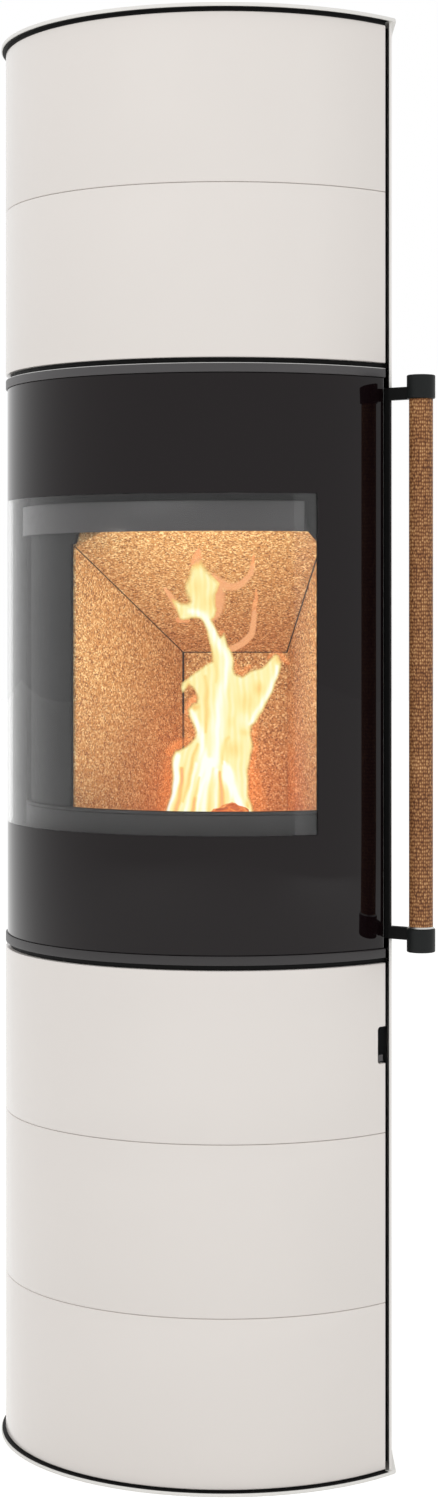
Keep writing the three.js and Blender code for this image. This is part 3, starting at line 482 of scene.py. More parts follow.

# %% [markdown]
# ** Low tint**: a colour that a surface takes on low down, by the embers. It is strongest at the bottom
# and thins out upwards, with a ragged edge from noise, so nothing looks masked off with tape.

# %% Low tint group
low_tint, entry, way_out, here = new_group(
    "low_tint",
    [("Colour", "Color", WHITE), ("Soot", "Color", BLACK), ("Amount", "Float", 0.5),
     ("Bottom", "Float", 0.76), ("Top", "Float", 1.0)],
    [("Colour", "Color")],
)
level = add(low_tint, "ShaderNodeSeparateXYZ", {"Vector": here}).outputs["Z"]
ragged = add(low_tint, "ShaderNodeTexNoise", {"Vector": here, "Scale": 14.0, "Detail": 4.0}).outputs["Fac"]
shifted = sums(low_tint, "ADD", level, sums(low_tint, "MULTIPLY", sums(low_tint, "SUBTRACT", ragged, 0.5), 0.25))
share = add(
    low_tint, "ShaderNodeMapRange",
    {"Value": shifted, "From Min": entry["Bottom"], "From Max": entry["Top"], "To Min": 1.0, "To Max": 0.0},
).outputs["Result"]
mask = sums(low_tint, "MULTIPLY", share, entry["Amount"])
low_tint.links.new(blend_colours(low_tint, mask, entry["Colour"], entry["Soot"]), way_out["Colour"])
print("group: soot")

# %% [markdown]
# ## Coated finishes
# Powder coat, stove paint, glaze, bare steel and the darker edge coat are one kind of finish in many
# colours. Each is the skin group with its own colour and grain, bump from the same height, and a
# roughness that the same mask varies a little, because a coat is never equally smooth all over. No
# black among them is quite black: even matt stove paint sends some light back.

# %% Coats
LEAST_ROUGH, MOST_ROUGH = 0.85, 1.15        # shares of a coat's own roughness
PEEL = 0.5 * MM


def coat(slot, colour, roughness, shift=0.03, fine_scale=900.0, bump=0.04, **settings):
    """A coat of paint or glaze over metal or clay."""
    tree, shader = new_finish(slot, Roughness=roughness, **settings)
    surface = use_group(tree, skin, Colour=colour, Shift=shift, Fine_Scale=fine_scale)
    rough = add(tree, "ShaderNodeMapRange", {
        "Value": surface["Mask"], "To Min": roughness * LEAST_ROUGH, "To Max": roughness * MOST_ROUGH,
    })
    feed(
        tree, shader, Base_Color=surface["Colour"], Roughness=rough.outputs["Result"],
        Normal=relief(tree, surface["Height"], bump, PEEL),
    )


coat("white_steel", linear(232, 230, 226), 0.42, fine_scale=1400.0)
# Near black with little gloss: besides the steel's own black, this paints the shade in the gaps where
# shelves and strips show.
coat("black_steel", linear(9, 9, 9), 0.6, fine_scale=1800.0, bump=0.12, Specular_IOR_Level=0.15)
coat("stove_paint", linear(17, 16, 17), 0.6, fine_scale=1800.0, bump=0.12, Specular_IOR_Level=0.25)
coat("grey_steel", linear(64, 62, 63), 0.4, fine_scale=1800.0, bump=0.08)
# The bottom rail's coat is darker than the top rail's: painted shade, for the light that falls from above.
coat("shaded_rail", linear(38, 35, 36), 0.4, fine_scale=1800.0, bump=0.08)
coat("bare_edge", linear(206, 206, 204), 0.3, fine_scale=1500.0, bump=0.1, Metallic=1.0)
coat("carcass_steel", linear(104, 107, 110), 0.4, shift=0.1, fine_scale=500.0, Metallic=0.9)
coat("handle_cap", linear(21, 23, 23), 0.5, fine_scale=2500.0, bump=0.10, Specular_IOR_Level=0.2)
# A darker, browner black for the opening's cut faces, and painted shade on the log guard's lip and groove.
coat("darkened_edge", linear(12, 8, 6), 0.8, fine_scale=1800.0, bump=0.2, Specular_IOR_Level=0.1)
coat("tile_glaze", linear(229, 223, 218), 0.24, shift=0.015, fine_scale=260.0, bump=0.10, Coat_Weight=0.25)
print("coats:", ", ".join(finishes))

# %% [markdown]
# ## Glass and its black print
# Glass needs no colour, only clean reflections, and those come from its two faces. Light Path lets the
# rays that test for shadow pass straight through, or the fire room behind would stay dark. Most of the
# pane carries a black print, fired into its inner face. Seen from outside, such glass is simply a deep
# black mirror: one reflection, and nothing behind it. So the printed part of the pane gets a smooth
# opaque black of its own, which is also far less noisy than glass over black. The pane's rim is ground,
# so it is frosted: pale, and neither clear nor black.

# %% Glass finishes
GLASS_IOR = 1.32
PRINTED_IOR = 1.33
tree, shader = new_finish(
    "door_glass", Base_Color=linear(250, 250, 250), Roughness=0.0, IOR=GLASS_IOR, Transmission_Weight=1.0,
)
clear = add(tree, "ShaderNodeBsdfTransparent", {"Color": linear(246, 246, 246)})
path = add(tree, "ShaderNodeLightPath")
shadow_rays = sums(tree, "MAXIMUM", path.outputs["Is Shadow Ray"], path.outputs["Is Diffuse Ray"])
mixer = add(tree, "ShaderNodeMixShader", {0: shadow_rays})
tree.links.new(shader.outputs["BSDF"], mixer.inputs[1])
tree.links.new(clear.outputs["BSDF"], mixer.inputs[2])
tree.links.new(mixer.outputs["Shader"], tree.nodes["Material Output"].inputs["Surface"])
coat("printed_glass", linear(17, 9, 11), 0.015, shift=0.1, bump=0.0, IOR=PRINTED_IOR)
coat("ground_edge", linear(176, 180, 178), 0.35, shift=0.05, fine_scale=3000.0, bump=0.2)
coat("glass_print", linear(26, 24, 25), 0.45, shift=0.1, fine_scale=2500.0, bump=0.1)
print("glass: door_glass, printed_glass, ground_edge, glass_print")

# %% [markdown]
# ## Fire board, stone, iron and rope
# Fire board is pressed from golden flakes a millimetre or two across, so it is the grains group in
# three browns, with a darker, redder tint creeping up from below. A wall that is seen at a slant shows
# its flakes foreshortened, and there a stretch along the depth keeps them in scale with the other walls.
# Heat-store blocks are the same group in greys. Cast iron is the skin group with a coarse bump, from
# the sand of its mould.

# %% Fire room finishes


def fire_board(name, stretch):
    """Pressed golden flakes, with their grain longer along an axis where its stretch is below 1."""
    tree, shader = new_finish(name, Roughness=0.92, Specular_IOR_Level=0.2)
    flakes = use_group(
        tree, grains, Dark=linear(126, 76, 36), Middle=linear(206, 152, 92), Light=linear(255, 232, 176),
        Scale=540.0, Dark_Share=0.36, Light_Share=0.34, Stretch=stretch,
    )
    tinted = use_group(
        tree, low_tint, Colour=flakes["Colour"], Soot=linear(150, 84, 46), Amount=0.35, Bottom=0.76, Top=1.0,
    )
    feed(tree, shader, Base_Color=tinted["Colour"], Normal=relief(tree, flakes["Height"], 0.35, 0.6 * MM))


fire_board("vermiculite", (1.0, 1.0, 1.0))
fire_board("vermiculite_side", (1.0, 0.34, 1.0))

tree, shader = new_finish("heat_store", Roughness=0.9, Specular_IOR_Level=0.3)
crushed = use_group(
    tree, grains, Dark=linear(96, 90, 84), Middle=linear(150, 142, 132), Light=linear(196, 190, 180),
    Scale=260.0, Dark_Share=0.3, Light_Share=0.25,
)
feed(tree, shader, Base_Color=crushed["Colour"], Normal=relief(tree, crushed["Height"], 0.4, 1 * MM))

tree, shader = new_finish("cast_iron", Roughness=0.55, Metallic=0.4)
cast_skin = use_group(tree, skin, Colour=linear(52, 51, 52), Shift=0.15, Fine_Scale=700.0, Fine_Share=0.8)
tinted = use_group(
    tree, low_tint, Colour=cast_skin["Colour"], Soot=linear(28, 24, 22), Amount=0.7, Bottom=0.74, Top=0.86,
)
feed(tree, shader, Base_Color=tinted["Colour"], Normal=relief(tree, cast_skin["Height"], 0.5, 0.5 * MM))

tree, shader = new_finish("seal_rope", Roughness=0.85, Sheen_Weight=0.2)
fibres = use_group(
    tree, grains, Dark=linear(40, 39, 37), Middle=linear(74, 73, 70), Light=linear(112, 110, 104),
    Scale=700.0, Stretch=(1.0, 1.0, 0.35),
)
feed(tree, shader, Base_Color=fibres["Colour"], Normal=relief(tree, fibres["Height"], 0.5, 0.4 * MM))
print("fire room: vermiculite, vermiculite_side, heat_store, cast_iron, seal_rope")

# %% [markdown]
# ## The handle's rod
# The rod is brown wood with a fine pattern of raised light dots in rows round it and dark pores between
# them, much like basketwork. Such a pattern has to follow the rod, so the shader first turns the place
# of each point into a column round the rod's axis and a row along it. A Voronoi texture on those two
# makes one slightly irregular dot in each cell. The number of columns is whole, so the rows close.

# %% Rod finish
ROD_COLUMNS = 34
ROD_ROW = 4.4 * MM
rod_low, rod_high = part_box("handle_rod")
rod_axis = Vector(((rod_low.x + rod_high.x) / 2, (rod_low.y + rod_high.y) / 2, 0))
rod_radius = (rod_high.x - rod_low.x) / 2

tree, shader = new_finish("handle_rod", Roughness=0.55, Specular_IOR_Level=0.3)
here = add(tree, "ShaderNodeTexCoord").outputs["Object"]
parts = add(tree, "ShaderNodeSeparateXYZ", {
    "Vector": add(tree, "ShaderNodeVectorMath", {0: here, 1: rod_axis}, operation="SUBTRACT").outputs[0],
})
turn = sums(tree, "ARCTAN2", parts.outputs["X"], sums(tree, "MULTIPLY", parts.outputs["Y"], -1.0))
column = sums(tree, "MULTIPLY", turn, ROD_COLUMNS / math.tau)
row = sums(tree, "DIVIDE", parts.outputs["Z"], ROD_ROW)
lattice = add(tree, "ShaderNodeCombineXYZ", {"X": column, "Y": row}).outputs["Vector"]
dots = add(
    tree, "ShaderNodeTexVoronoi", {"Vector": lattice, "Scale": 1.0, "Randomness": 0.42},
    voronoi_dimensions="2D",
)
raised = add(tree, "ShaderNodeMapRange", {
    "Value": dots.outputs["Distance"], "From Min": 0.12, "From Max": 0.6, "To Min": 1.0, "To Max": 0.0,
}).outputs["Result"]
own = add(tree, "ShaderNodeSeparateColor", {"Color": dots.outputs["Color"]}).outputs["Red"]
wide = add(tree, "ShaderNodeTexNoise", {"Vector": here, "Scale": 28.0, "Detail": 2.0}).outputs["Fac"]
tone = sums(tree, "ADD", sums(tree, "MULTIPLY", raised, 0.55), sums(tree, "MULTIPLY", own, 0.22))
tone = sums(tree, "ADD", tone, sums(tree, "MULTIPLY", wide, 0.3))
wood = ramp(
    tree, tone, (0.2, linear(78, 42, 20)), (0.45, linear(126, 80, 46)), (0.72, linear(164, 116, 72)),
    (0.98, linear(222, 178, 126)),
)
feed(tree, shader, Base_Color=wood, Normal=relief(tree, raised, 0.5, 0.5 * MM))
print("rod: handle_rod,", ROD_COLUMNS, "columns round it")

# %% [markdown]
# ## Finishes on the frame's own solids
# The parts record says which slot each solid takes its finish from, and every finish is named after
# its slot. So one loop dresses them all, also those that are replaced later, and smooths the shading
# over their curves. The right wall of the fire room is the one that is seen at a slant.

# %% Finishes on the frame's own solids
SOLID_SMOOTH_ANGLE = math.radians(30)
slot_of = {part["node"]: part["material_slot"] for part in frame["record"]["subparts"]}
for name, solid in frame["nodes"].items():
    solid.data.materials.clear()
    solid.data.materials.append(finishes[slot_of[name]])
    solid.data.shade_smooth()
    solid.data.set_sharp_from_angle(angle=SOLID_SMOOTH_ANGLE)
frame["nodes"]["lining_right"].data.materials[0] = finishes["vermiculite_side"]
print("finished:", len(slot_of), "solids of the frame")

# %% [markdown]
# ## The tiles
# Each tile is pressed from clay in one piece, a quarter of a turn and more round the stove, and its
# glaze runs over softly rounded edges. Where two such edges meet, their rounds make the joint read as
# a fine dark line with a light one beside it. The third tile from the floor has a notch with rounded
# corners at its right end, where the air lever looks out.

# %% Tiles
TILE_ROUND = 1.5 * MM
NOTCH_TURN = 1.3                            # degrees from the notch's middle to the tile's end
NOTCH_REACH = 6.7 * MM                      # from its middle to its closed side
NOTCH_ROUND = 4 * MM
NOTCH_RISE, NOTCH_HEIGHT = 85.9 * MM, 45.4 * MM
notch_bottom = low("lower_tile_3").z + NOTCH_RISE
notch_top = notch_bottom + NOTCH_HEIGHT
notch_left = tile_end - NOTCH_TURN - math.degrees(NOTCH_REACH / tile_radius)
notch_round = math.degrees(NOTCH_ROUND / tile_radius)


def notch_corner(height, start, end):
    """A rounded inner corner of the notch, as (bearing, height) points."""
    unit = round_corner((0, 0), 1, start, end)
    return [(notch_left + notch_round * (1 + x), height + NOTCH_ROUND * y) for x, y in unit]


for name in [n for n in frame["nodes"] if "_tile_" in n]:
    bottom, top = low(name).z, high(name).z
    outline = panel(tile_start, tile_end, bottom, top)
    if name == "lower_tile_3":
        outline = [
            (tile_start, bottom), (tile_end, bottom), (tile_end, notch_bottom),
            *notch_corner(notch_bottom + NOTCH_ROUND, 270, 180),
            *notch_corner(notch_top - NOTCH_ROUND, 180, 90),
            (tile_end, notch_top), (tile_end, top), (tile_start, top),
        ]
    shell = bent_sheet([outline], tile_inner, tile_radius, TILE_ROUND)
    tile = place(f"glazed_{name}", shell, "tile_glaze", name)
    print(tile.name, len(tile.data.vertices), "vertices")

# %% [markdown]
# ## Base plate and top plate
# Both are cut from white coated sheet to the stove's plan: the round front, two straight edges and
# soft corners. So the plan comes first. It is one long arc, a bend at each of its ends, and a round
# corner at the rear.

# %% Plan
END_CORNER = 5 * MM
REAR_CORNER = 8 * MM
CORNER_STEPS = 6


def plan_arc(radius, start, end):
    """Points of an arc round the stove's axis, in plan."""
    steps = max(2, round(abs(end - start) / BEND_STEP))
    return [tuple(polar(radius, start + (end - start) * s / steps).xy) for s in range(steps + 1)]


def soft_corner(start, tip, finish):
    """A corner in plan that bends from its start to its finish and never reaches its tip."""
    points = []
    for step in range(CORNER_STEPS + 1):
        t = step / CORNER_STEPS
        points.append(tuple(start * (1 - t) ** 2 + tip * 2 * t * (1 - t) + finish * t * t))
    return points


def plate_plan(radius, flat):
    """The stove's plan: a round front and two straight edges, with soft corners."""
    end = math.degrees(math.asin(flat / radius))
    cut = math.degrees(END_CORNER / radius)
    right, rear = polar(radius, end).xy, polar(radius, -90 - end).xy
    corner = flat - REAR_CORNER
    return [
        *plan_arc(radius, -90 - end + cut, end - cut),
        *soft_corner(polar(radius, end - cut).xy, right, Vector((flat, right.y + END_CORNER))),
        *round_corner((corner, corner), REAR_CORNER, 0, 90),
        *soft_corner(Vector((rear.x + END_CORNER, flat)), rear, polar(radius, -90 - end + cut).xy),
    ]


plate_radius = min(-low("base_plate").x, -low("base_plate").y)
plate_flat = min(high("base_plate").x, high("base_plate").y)
outline = plate_plan(plate_radius, plate_flat)
print(f"plan: radius {plate_radius:.4f}, straight edges at {plate_flat:.4f}, {len(outline)} points")

# %% [markdown]
# **Cutting the plates**: the cutter leaves every edge slightly broken, which is what catches the light
# along the rim. The top plate also has the hole and the flush lid of an outlet that isn't used.

# %% Plates
PLATE_ROUND = 0.8 * MM
LID_SIDES = 96
LID_GAP = 0.5 * MM


def lid_circle(radius):
    """A circle round the stove's axis, in plan."""
    return round_corner((0, 0), radius, 0, 360 - 360 / LID_SIDES, LID_SIDES - 1)


def plate(name, outlines, bottom, top, node):
    """A flat plate of white steel, cut to outlines in plan."""
    sheet = cut_sheet(outlines, top - bottom, PLATE_ROUND)
    bmesh.ops.translate(sheet, verts=sheet.verts, vec=(0, 0, bottom))
    place(name, sheet, "white_steel", node)


plate("coated_base_plate", [outline], low("base_plate").z, high("base_plate").z, "base_plate")
lid_radius = high("top_cover").x
lid_hole = lid_circle(lid_radius + LID_GAP)
plate("coated_top_plate", [outline, lid_hole], low("top_plate").z, high("top_plate").z, "top_plate")
plate("coated_top_lid", [lid_circle(lid_radius)], low("top_plate").z, high("top_cover").z, "top_cover")
print(f"plates: base plate, top plate, and a lid of radius {lid_radius:.4f}")

# %% [markdown]
# ## Door: rails, stiles and glass
# The door is a pane of bent glass held between two steel rails, with a stile behind each end. The rails
# are bent sheets like the tiles. The top one is ground bare along its upper front edge, where the
# light catches it, so the faces of its rounding there take a second material.

# %% Rails
RAIL_ROUND = 0.9 * MM
# The bottom rail takes the darker coat, which paints its shade.
for name, coating in (("door_rail_bottom", "shaded_rail"), ("door_rail_top", "grey_steel")):
    outline = panel(door_start, tile_end, low(name).z, high(name).z)
    sheet = bent_sheet([outline], tile_inner, tile_radius, RAIL_ROUND)
    rail = place(f"bent_{name}", sheet, coating, name, slot="grey_steel")

rail.data.materials.append(finishes["bare_edge"])
for face in rail.data.polygons:
    on_front = math.hypot(face.center.x, face.center.y) > tile_radius - RAIL_ROUND
    if on_front and face.center.z > high("door_rail_top").z - RAIL_ROUND:
        face.material_index = 1
print(f"rails: bearings {door_start:.2f} to {tile_end:.2f}")

# %% [markdown]
# **Pane and print**: the pane is one more bent sheet. It gets extra edges along the sides of the clear
# window, so that whole faces are either clear or printed. Its own edges are ground to a small round,
# which catches the light as a thin bright line on the handle side. Behind it lies the print as a skin
# with the window cut out, which is what shows when the open door is seen from its inside.

# %% Pane and print
GLASS_ROUND = 0.8 * MM
GLASS_STEP = 1.0
GLASS_END_MARGIN = 0.3                      # degrees that the pane stops short of the rails
PRINT_SKIN = 0.3 * MM
WINDOW = (-91.5, 23.4)                      # bearings of the clear window's sides
WINDOW_RISE, WINDOW_HEIGHT = 156.3 * MM, 415.6 * MM
glass_low, glass_high = low("door_glass").z, high("door_glass").z
glass_end = tile_end - GLASS_END_MARGIN
window_low = low("door_rail_bottom").z + WINDOW_RISE
window_high = window_low + WINDOW_HEIGHT
window = panel(*WINDOW, window_low, window_high)

pane_edge = panel(door_start, glass_end, glass_low, glass_high)
bent_pane = bent_sheet([pane_edge], glass_inner, glass_radius, GLASS_ROUND, GLASS_STEP, marks=window[::2])
pane = place("bent_door_glass", bent_pane, "door_glass", "door_glass")
pane.data.materials.append(finishes["printed_glass"])
pane.data.materials.append(finishes["ground_edge"])
for face in pane.data.polygons:
    bearing = bearing_of(face.center)
    clear = WINDOW[0] < bearing < WINDOW[1] and window_low < face.center.z < window_high
    at_rim = bearing > glass_end - math.degrees(GLASS_ROUND / glass_radius)
    face.material_index = 2 if at_rim else 0 if clear else 1

_, print_outer, print_start, print_end = reach("glass_print")
print_edge = panel(print_start, print_end, glass_low, glass_high)
fired_print = bent_sheet([print_edge, window], print_outer - PRINT_SKIN, print_outer, 0.0, GLASS_STEP)
place("fired_glass_print", fired_print, "glass_print", "glass_print")
print(f"pane: window {window_low:.3f} to {window_high:.3f} m high")

# %% [markdown]
# ## Handle
# The rod is turned on a lathe, and so is this mesh: a profile of radius and height is swung round the
# rod's axis. The ends are rounded so that the caps seem to hold the wood. The caps are turned too,
# with a soft rim top and bottom. Where the lower cap meets the rod, a low cone of bare steel shows.

# %% Handle
HANDLE_SIDES = 64
ROD_RIM, CAP_RIM = 0.8 * MM, 1.6 * MM
COLLAR_HEIGHT = 1.9 * MM
COLLAR_SEAT = 0.1 * MM                      # between the cap and the collar
COLLAR_BORE = 1 * MM                        # the collar's inside, within the rod
COLLAR_FOOT = 0.8 * MM                      # the collar's foot inside the cap's edge
COLLAR_NECK = 0.4 * MM                      # the collar's top outside the rod


def turned(profile, centre, sides=HANDLE_SIDES):
    """A turned piece about a vertical axis, from the (radius, height) pairs of its profile."""
    blank = bmesh.new()
    corners = [blank.verts.new((radius, 0, height)) for radius, height in profile]
    outline = [blank.edges.new(pair) for pair in zip(corners, corners[1:])]
    bmesh.ops.spin(
        blank, geom=[*corners, *outline], cent=(0, 0, 0), axis=(0, 0, 1), angle=math.tau, steps=sides,
        use_merge=True,
    )
    bmesh.ops.remove_doubles(blank, verts=blank.verts, dist=WELD)
    bmesh.ops.translate(blank, verts=blank.verts, vec=centre)
    return blank


def rounded_profile(radius, bottom, top, rim):
    """A cylinder's profile with a quarter round at each rim."""
    lower = round_corner((radius - rim, bottom + rim), rim, -90, 0)
    upper = round_corner((radius - rim, top - rim), rim, 0, 90)
    return [(0, bottom), *lower, *upper, (0, top)]


profile = rounded_profile(rod_radius, rod_low.z, rod_high.z, ROD_RIM)
place("turned_handle_rod", turned(profile, rod_axis), "handle_rod", "handle_rod")
for name in ("handle_cap_lower", "handle_cap_upper"):
    cap_radius = (high(name).x - low(name).x) / 2
    profile = rounded_profile(cap_radius, low(name).z, high(name).z, CAP_RIM)
    place(f"turned_{name}", turned(profile, rod_axis), "handle_cap", name)

bore, seat, neck = rod_radius - COLLAR_BORE, rod_low.z + COLLAR_SEAT, rod_low.z + COLLAR_HEIGHT
collar = turned([
    (bore, seat), (cap_radius - COLLAR_FOOT, seat), (rod_radius + COLLAR_NECK, neck), (bore, neck),
    (bore, seat),
], rod_axis)
place("turned_rod_collar", collar, "bare_edge", body="door")
print(f"handle: rod radius {rod_radius / MM:.2f} mm at {rod_axis.x:.4f}, {rod_axis.y:.4f}")

# %% [markdown]
# ## Sweeping a section round the stove
# Some pieces are bent bars with a section of their own: the log guard is an angle with a deep top
# flange, the deflector a thin folded strip. Their section is drawn once, in radius and height, and it
# is swept round the axis with a flat face at each end. A piece whose section changes on its way, as
# the log guard's does at the sides of the opening, is swept in stretches.

# %% Swept pieces


def fillet(corners, radius, steps=3):
    """A closed outline whose corners are rounded by quadratic curves."""
    points = []
    for before, corner, after in zip([corners[-1], *corners[:-1]], corners, [*corners[1:], corners[0]]):
        before, corner, after = Vector(before), Vector(corner), Vector(after)
        start = corner + (before - corner).normalized() * min(radius, (before - corner).length / 2)
        finish = corner + (after - corner).normalized() * min(radius, (after - corner).length / 2)
        for step in range(steps + 1):
            t = step / steps
            points.append(start * (1 - t) ** 2 + corner * 2 * t * (1 - t) + finish * t * t)
    return points


def swept_arc(stretches):
    """Sections of (radius, height) swept round the axis, each over its stretch of (start, end, section).

    All sections have as many points, so that one stretch can go on where the last one ended.
    """
    sweep = bmesh.new()
    rings = []
    for start, end, section in stretches:
        steps = max(2, round((end - start) / BEND_STEP))
        for index in range(steps + 1):
            bearing = start + (end - start) * index / steps
            rings.append([sweep.verts.new(polar(radius, bearing, height)) for radius, height in section])
    for ring, following in zip(rings, rings[1:]):
        for index in range(len(ring)):
            after = (index + 1) % len(ring)
            sweep.faces.new((ring[index], ring[after], following[after], following[index]))
    sweep.faces.new(rings[0])
    sweep.faces.new(list(reversed(rings[-1])))
    bmesh.ops.remove_doubles(sweep, verts=sweep.verts, dist=WELD)
    bmesh.ops.dissolve_degenerate(sweep, edges=sweep.edges, dist=WELD)
    return sweep


print("sweep helpers: fillet, swept_arc")

# %% [markdown]
# ** Shadow strips**: between the white plates and the tiles runs a black strip with a thin lip under the
# plate's rim. It is a dark piece put where there is only shade: it paints the shadow in the gap and
# under the plate's overhang as the black line that sets the plates off from the tiles. Its section is
# an L, lying one way up at the foot and the other way up at the head.

# %% Shadow strips
STRIP_SET_BACK = 0.6 * MM                   # behind the face of the tiles
STRIP_LIP = 0.8 * MM
STRIP_GAP = 0.2 * MM
STRIP_ROUND = 0.2 * MM
LIP_SET_BACK = 1.4 * MM                     # behind the plate's rim
strip_inner, strip_outer = reach("plinth_strip")[0], tile_radius - STRIP_SET_BACK
lip_outer = plate_radius - LIP_SET_BACK


def shadow_strip(name, plate_side, tile_side, *nodes):
    """A black strip from a plate's face to a tile's edge, with its lip against the plate."""
    lip = plate_side + math.copysign(STRIP_LIP, tile_side - plate_side)
    section = fillet([
        (strip_inner, plate_side), (lip_outer, plate_side), (lip_outer, lip), (strip_outer, lip),
        (strip_outer, tile_side), (strip_inner, tile_side),
    ], STRIP_ROUND, 1)
    place(name, swept_arc([(tile_start, tile_end, section)]), "black_steel", *nodes, body="root")


foot_low, foot_high = high("base_plate").z + STRIP_GAP, low("lower_tile_1").z - STRIP_GAP
head_low, head_high = high("upper_tile_2").z + STRIP_GAP, low("top_plate").z - STRIP_GAP
# Both strips are painted shadow.
shadow_strip("foot_shadow_strip", foot_low, foot_high, "plinth_strip")
shadow_strip("head_shadow_strip", head_high, head_low)
print("shadow strips: foot and head")

# %% [markdown]
# ** Firebox front**: the black plate behind the glass, with the fire opening cut out of it. It is one
# more bent sheet with a hole, whose upper corners are not square. The cut faces of the opening look
# into the fire and take a darker, browner black: they face along the sheet, which tells them from its
# front and back.

# %% Firebox front
PLATE_WALL = 4 * MM
OPENING = (-49.2, 26.6)
OPENING_DROP = 7.3 * MM
OPENING_HEIGHT = 414.5 * MM
# Each corner's points are (bearing, drop) from the opening's own corner.
LEFT_NOTCH = [(2.8, 0.0), (1.5, 13.5 * MM), (0.0, 14.1 * MM)]
RIGHT_CUT = [(2.7, 0.0), (0.0, 12.3 * MM)]
PLATE_EDGE = 0.6 * MM
SIDE_MARGIN, LEVEL_MARGIN = 0.3, 1 * MM     # round the opening, in degrees and in height
FACES_OUT = 0.8                             # how squarely a face of the sheet itself looks outwards
_, front_radius, start, end = reach("firebox_front")
fire_low = high("hearth_stone_front").z - OPENING_DROP
front_edge = panel(start, end, low("firebox_front").z, high("firebox_front").z)
fire_high = fire_low + OPENING_HEIGHT
opening = [
    (OPENING[0], fire_low), (OPENING[1], fire_low),
    *[(OPENING[1] - turn, fire_high - drop) for turn, drop in reversed(RIGHT_CUT)],
    *[(OPENING[0] + turn, fire_high - drop) for turn, drop in LEFT_NOTCH],
]
front_sheet = bent_sheet([front_edge, opening], front_radius - PLATE_WALL, front_radius, PLATE_EDGE)
front = place("bent_firebox_front", front_sheet, "stove_paint", "firebox_front", slot="black_steel")

front.data.materials.append(finishes["darkened_edge"])
for face in front.data.polygons:
    bearing = bearing_of(face.center)
    across = OPENING[0] - SIDE_MARGIN < bearing < OPENING[1] + SIDE_MARGIN
    level = fire_low - LEVEL_MARGIN < face.center.z < fire_high + LEVEL_MARGIN
    if across and level and abs(face.normal.dot(polar(1.0, bearing))) < FACES_OUT:
        face.material_index = 1
print(f"firebox front: opening {fire_low:.3f} to {fire_low + OPENING_HEIGHT:.3f}")

# %% [markdown]
# ** Log guard**: a casting that stands in front of the plate and keeps the logs off the glass. Its top
# flange reaches in through the opening, so the section has a flange only there, which slopes down so
# that ash slides back into the fire. Elsewhere the flange's points lie on the wall, and merging them
# leaves a plain wall. A fine groove runs under the lip. The groove and the lip's top take a darker
# black: painted shade, in the groove and as the dark line along the lip's top.

# %% Log guard
GUARD_WALL = 6 * MM
GUARD_ROUND = 2 * MM
GUARD_FOOT_CUT = 0.3                        # of that round, left standing where the foot's chamfer turns
GUARD_SIDE_GAP = 1.2                        # degrees between the flange and each side of the opening
LIP_HEIGHT = 4.4 * MM
LIP_ROUND = 0.8 * MM
GROOVE = 1.4 * MM                           # under the lip, as wide as it is deep
FLANGE_FALL = 6 * MM
FLANGE_ROOT = 1 * MM                        # extra depth of the flange where it leaves the wall
DARKENED_DEPTH = 1 * MM
flange_inner, outer, start, end = reach("log_guard")
bottom, top = low("log_guard").z, high("log_guard").z


def guard_section(inner):
    """The guard's section, whose flange slopes inwards to a radius."""
    wall, groove, fall = outer - GUARD_WALL, top - LIP_HEIGHT, top - FLANGE_FALL
    foot_cut = GUARD_FOOT_CUT * GUARD_ROUND
    return [
        (outer - GUARD_ROUND, bottom), (outer - foot_cut, bottom + foot_cut), (outer, bottom + GUARD_ROUND),
        (outer, groove - GROOVE / 2), (outer - GROOVE, groove), (outer, groove + GROOVE / 2),
        (outer, top - LIP_ROUND), (outer - LIP_ROUND, top), (wall, top), (inner, fall),
        (inner, fall - GUARD_WALL), (wall, fall - GUARD_WALL - FLANGE_ROOT), (wall, bottom),
    ]


flange_start, flange_end = OPENING[0] + GUARD_SIDE_GAP, OPENING[1] - GUARD_SIDE_GAP
plain_section = guard_section(outer - GUARD_WALL)
guard = place("cast_log_guard", swept_arc([
    (start, flange_start, plain_section),
    (flange_start, flange_end, guard_section(flange_inner)),
    (flange_end, end, plain_section),
]), "cast_iron", "log_guard")
guard.data.materials.append(finishes["darkened_edge"])
# The lip's top and the groove take the darker black: painted shade.
for face in guard.data.polygons:
    below_top = top - face.center.z
    face.material_index = below_top < DARKENED_DEPTH or abs(below_top - LIP_HEIGHT) < GROOVE / 2
print(f"log guard: wall at {outer:.3f}, flange to {flange_inner:.3f}, bearings {start:.1f} to {end:.1f}")

# %% [markdown]
# **Air-wash deflector**: a strip of 2 mm sheet, folded at its top to meet the firebox front. It sends
# the air down behind the glass to keep it clean, and it shows as a grey band across the window's top.

# %% Deflector
SHEET = 2 * MM
SHEET_ROUND = 0.6 * MM
inner, outer, start, end = reach("air_deflector")
bottom, top = low("air_deflector").z, high("air_deflector").z
fold_section = fillet([
    (outer, bottom), (outer, top), (inner, top), (inner, top - SHEET), (outer - SHEET, top - SHEET),
    (outer - SHEET, bottom),
], SHEET_ROUND)
place("folded_air_deflector", swept_arc([(start, end, fold_section)]), "grey_steel", "air_deflector")
print(f"deflector: radius {inner:.3f} to {outer:.3f}, bearings {start:.1f} to {end:.1f}")

# %% [markdown]
# **Seal rope**: glass-fibre rope in a groove behind the door. The closed door presses it against the
# firebox front, which has left it wider than deep. First comes its path, once round the door as it
# would lie on a flat sheet: four straight runs and four turns, cut into short steps.

